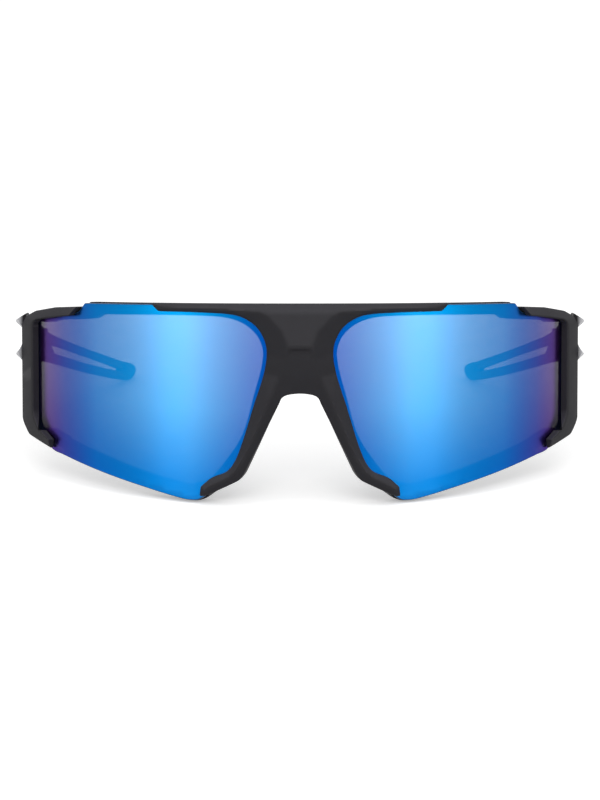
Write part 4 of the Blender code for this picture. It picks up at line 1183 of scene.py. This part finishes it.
def lens_edge():
    finish = Finish("polished_edge", EDGE, 0.3, {"Specular IOR Level": 0.15})
    streaks = finish.noise(EDGE_STREAKS, 3.0)
    finish.set("Base Color", finish.blend(streaks, EDGE_DARK, EDGE_LIGHT))
    finish.set("Roughness", 0.25 + 0.15 * streaks)
    return finish.material


# Stage
WHITE = (1.0, 1.0, 1.0, 1.0)
BLACK = (0.0, 0.0, 0.0)
SKY_LEVEL = 0.55  # how brightly the white background lights what it surrounds
FLOOR_COLOUR = (0.86, 0.86, 0.86)
FLOOR_GLOW = (0.37, 0.37, 0.37)
FLOOR_REACH = 6.0

# Lights: degrees up from the table, distance in metres, width and height, power
FRONT_AZIMUTH = 42
FRONT_LIGHT = (6, 0.9, (0.20, 0.55), 0.55)
FRONT_GLOW = (10, 1.1, (0.5, 0.6), 0.35)
TOP_LIGHT = (32, 1.0, (0.6, 0.3), 3.0)
# Far light: degrees round and up, its spread in degrees, strength
ROOM_AZIMUTH = 10
ROOM_ELEVATION = 65
ROOM_SPREAD = 60
ROOM_STRENGTH = 0.9

# Camera, in the lens frame
CAMERA_LENS = 117
CAMERA_REACH = 0.65
CAMERA_CLIP = CAMERA_REACH / 50
CAMERA_FALL = math.radians(4)  # how far it looks down


def build_world():
    world = bpy.data.worlds.new("studio")
    bpy.context.scene.world = world
    world.use_nodes = True
    sky = Nodes(world.node_tree, "Background")
    sky.set("Color", WHITE)
    sky.set("Strength", SKY_LEVEL + (1 - SKY_LEVEL) * sky.seen())


def build_floor():
    form = bmesh.new()
    bmesh.ops.create_grid(form, x_segments=1, y_segments=1, size=FLOOR_REACH)
    floor = make_object("floor", form)
    finish = Finish("pale_floor", FLOOR_COLOUR, 0.9, {"Specular IOR Level": 0.0, "Emission Strength": 1.0})
    finish.set("Emission Color", finish.blend(finish.seen(), BLACK, FLOOR_GLOW))
    floor.data.materials.append(finish.material)


def place_lamp(lamp, azimuth, elevation, reach):
    """Puts a lamp round from the front and up, in degrees, and turns it to the glasses."""
    turn, up = math.radians(azimuth), math.radians(elevation)
    back = Vector((math.sin(turn) * math.cos(up), -math.cos(turn) * math.cos(up), math.sin(up)))
    light = bpy.data.objects.new(lamp.name, lamp)
    light.location = back * reach
    light.rotation_euler = (-back).to_track_quat("-Z", "Y").to_euler()
    bpy.context.scene.collection.objects.link(light)


def soft_light(name, azimuth, elevation, reach, size, power):
    lamp = bpy.data.lights.new(name, "AREA")
    lamp.shape = "RECTANGLE"
    lamp.size, lamp.size_y = size
    lamp.energy = power
    place_lamp(lamp, azimuth, elevation, reach)


def build_lights():
    for side in (1, -1):
        soft_light(f"front_light_{side}", FRONT_AZIMUTH * side, *FRONT_LIGHT)
        soft_light(f"front_glow_{side}", FRONT_AZIMUTH * side, *FRONT_GLOW)
    soft_light("front_top_light", 0, *TOP_LIGHT)
    # A very soft far light, which is even over the whole floor
    room = bpy.data.lights.new("room_light", "SUN")
    room.angle = math.radians(ROOM_SPREAD)
    room.energy = ROOM_STRENGTH
    place_lamp(room, ROOM_AZIMUTH, ROOM_ELEVATION, 0)


def build_camera():
    camera = bpy.data.objects.new("camera", bpy.data.cameras.new("camera"))
    bpy.context.scene.collection.objects.link(camera)
    camera.data.lens = CAMERA_LENS
    camera.data.clip_start = CAMERA_CLIP
    forward = Vector((0, math.cos(CAMERA_FALL), -math.sin(CAMERA_FALL)))
    upward = Vector((0, math.sin(CAMERA_FALL), math.cos(CAMERA_FALL)))
    turn = Matrix((Vector((1, 0, 0)), upward, -forward)).transposed()
    camera.matrix_world = REST @ Matrix.Translation(-forward * CAMERA_REACH) @ turn.to_4x4()
    bpy.context.scene.camera = camera


def dress_metal(steel, brass):
    """The screws, cores, washers, nuts and bushes keep their shape and get a finer edge."""
    for name, node in frame["nodes"].items():
        if not any(kind in name for kind in ("screw", "core", "washer", "nut", "bush")):
            continue
        node.data.materials.clear()
        node.data.materials.append(brass if "nut" in name or "bush" in name else steel)
        weld = node.modifiers.new("weld", "WELD")
        weld.merge_threshold = WELD_REACH
        bevel = node.modifiers.new("edge", "BEVEL")
        bevel.width = METAL_EDGE
        bevel.segments = METAL_EDGE_STEPS
        bevel.limit_method = "ANGLE"
        bevel.angle_limit = METAL_EDGE_TURN


def main():
    plastic = moulded_plastic("matt_black_nylon")
    ribbed_plastic = moulded_plastic("ribbed_black_nylon", RIB_START)
    rubber = soft_rubber()
    steel = turned_metal("turned_steel", *STEEL)
    brass = turned_metal("turned_brass", *BRASS)
    build_camera()
    build_world()
    build_floor()
    build_lights()
    build_lens(mirror_coating(), lens_tint(), lens_edge())
    build_frame(plastic)
    build_cover(plastic)
    for side, label in ((1, "left"), (-1, "right")):
        build_nose_pad(label, side, rubber)
        build_arm(label, side, ribbed_plastic)
        build_tip(label, side, rubber)
    dress_metal(steel, brass)
    bpy.context.scene.view_settings.view_transform = "Standard"
    bpy.context.view_layer.update()


main()
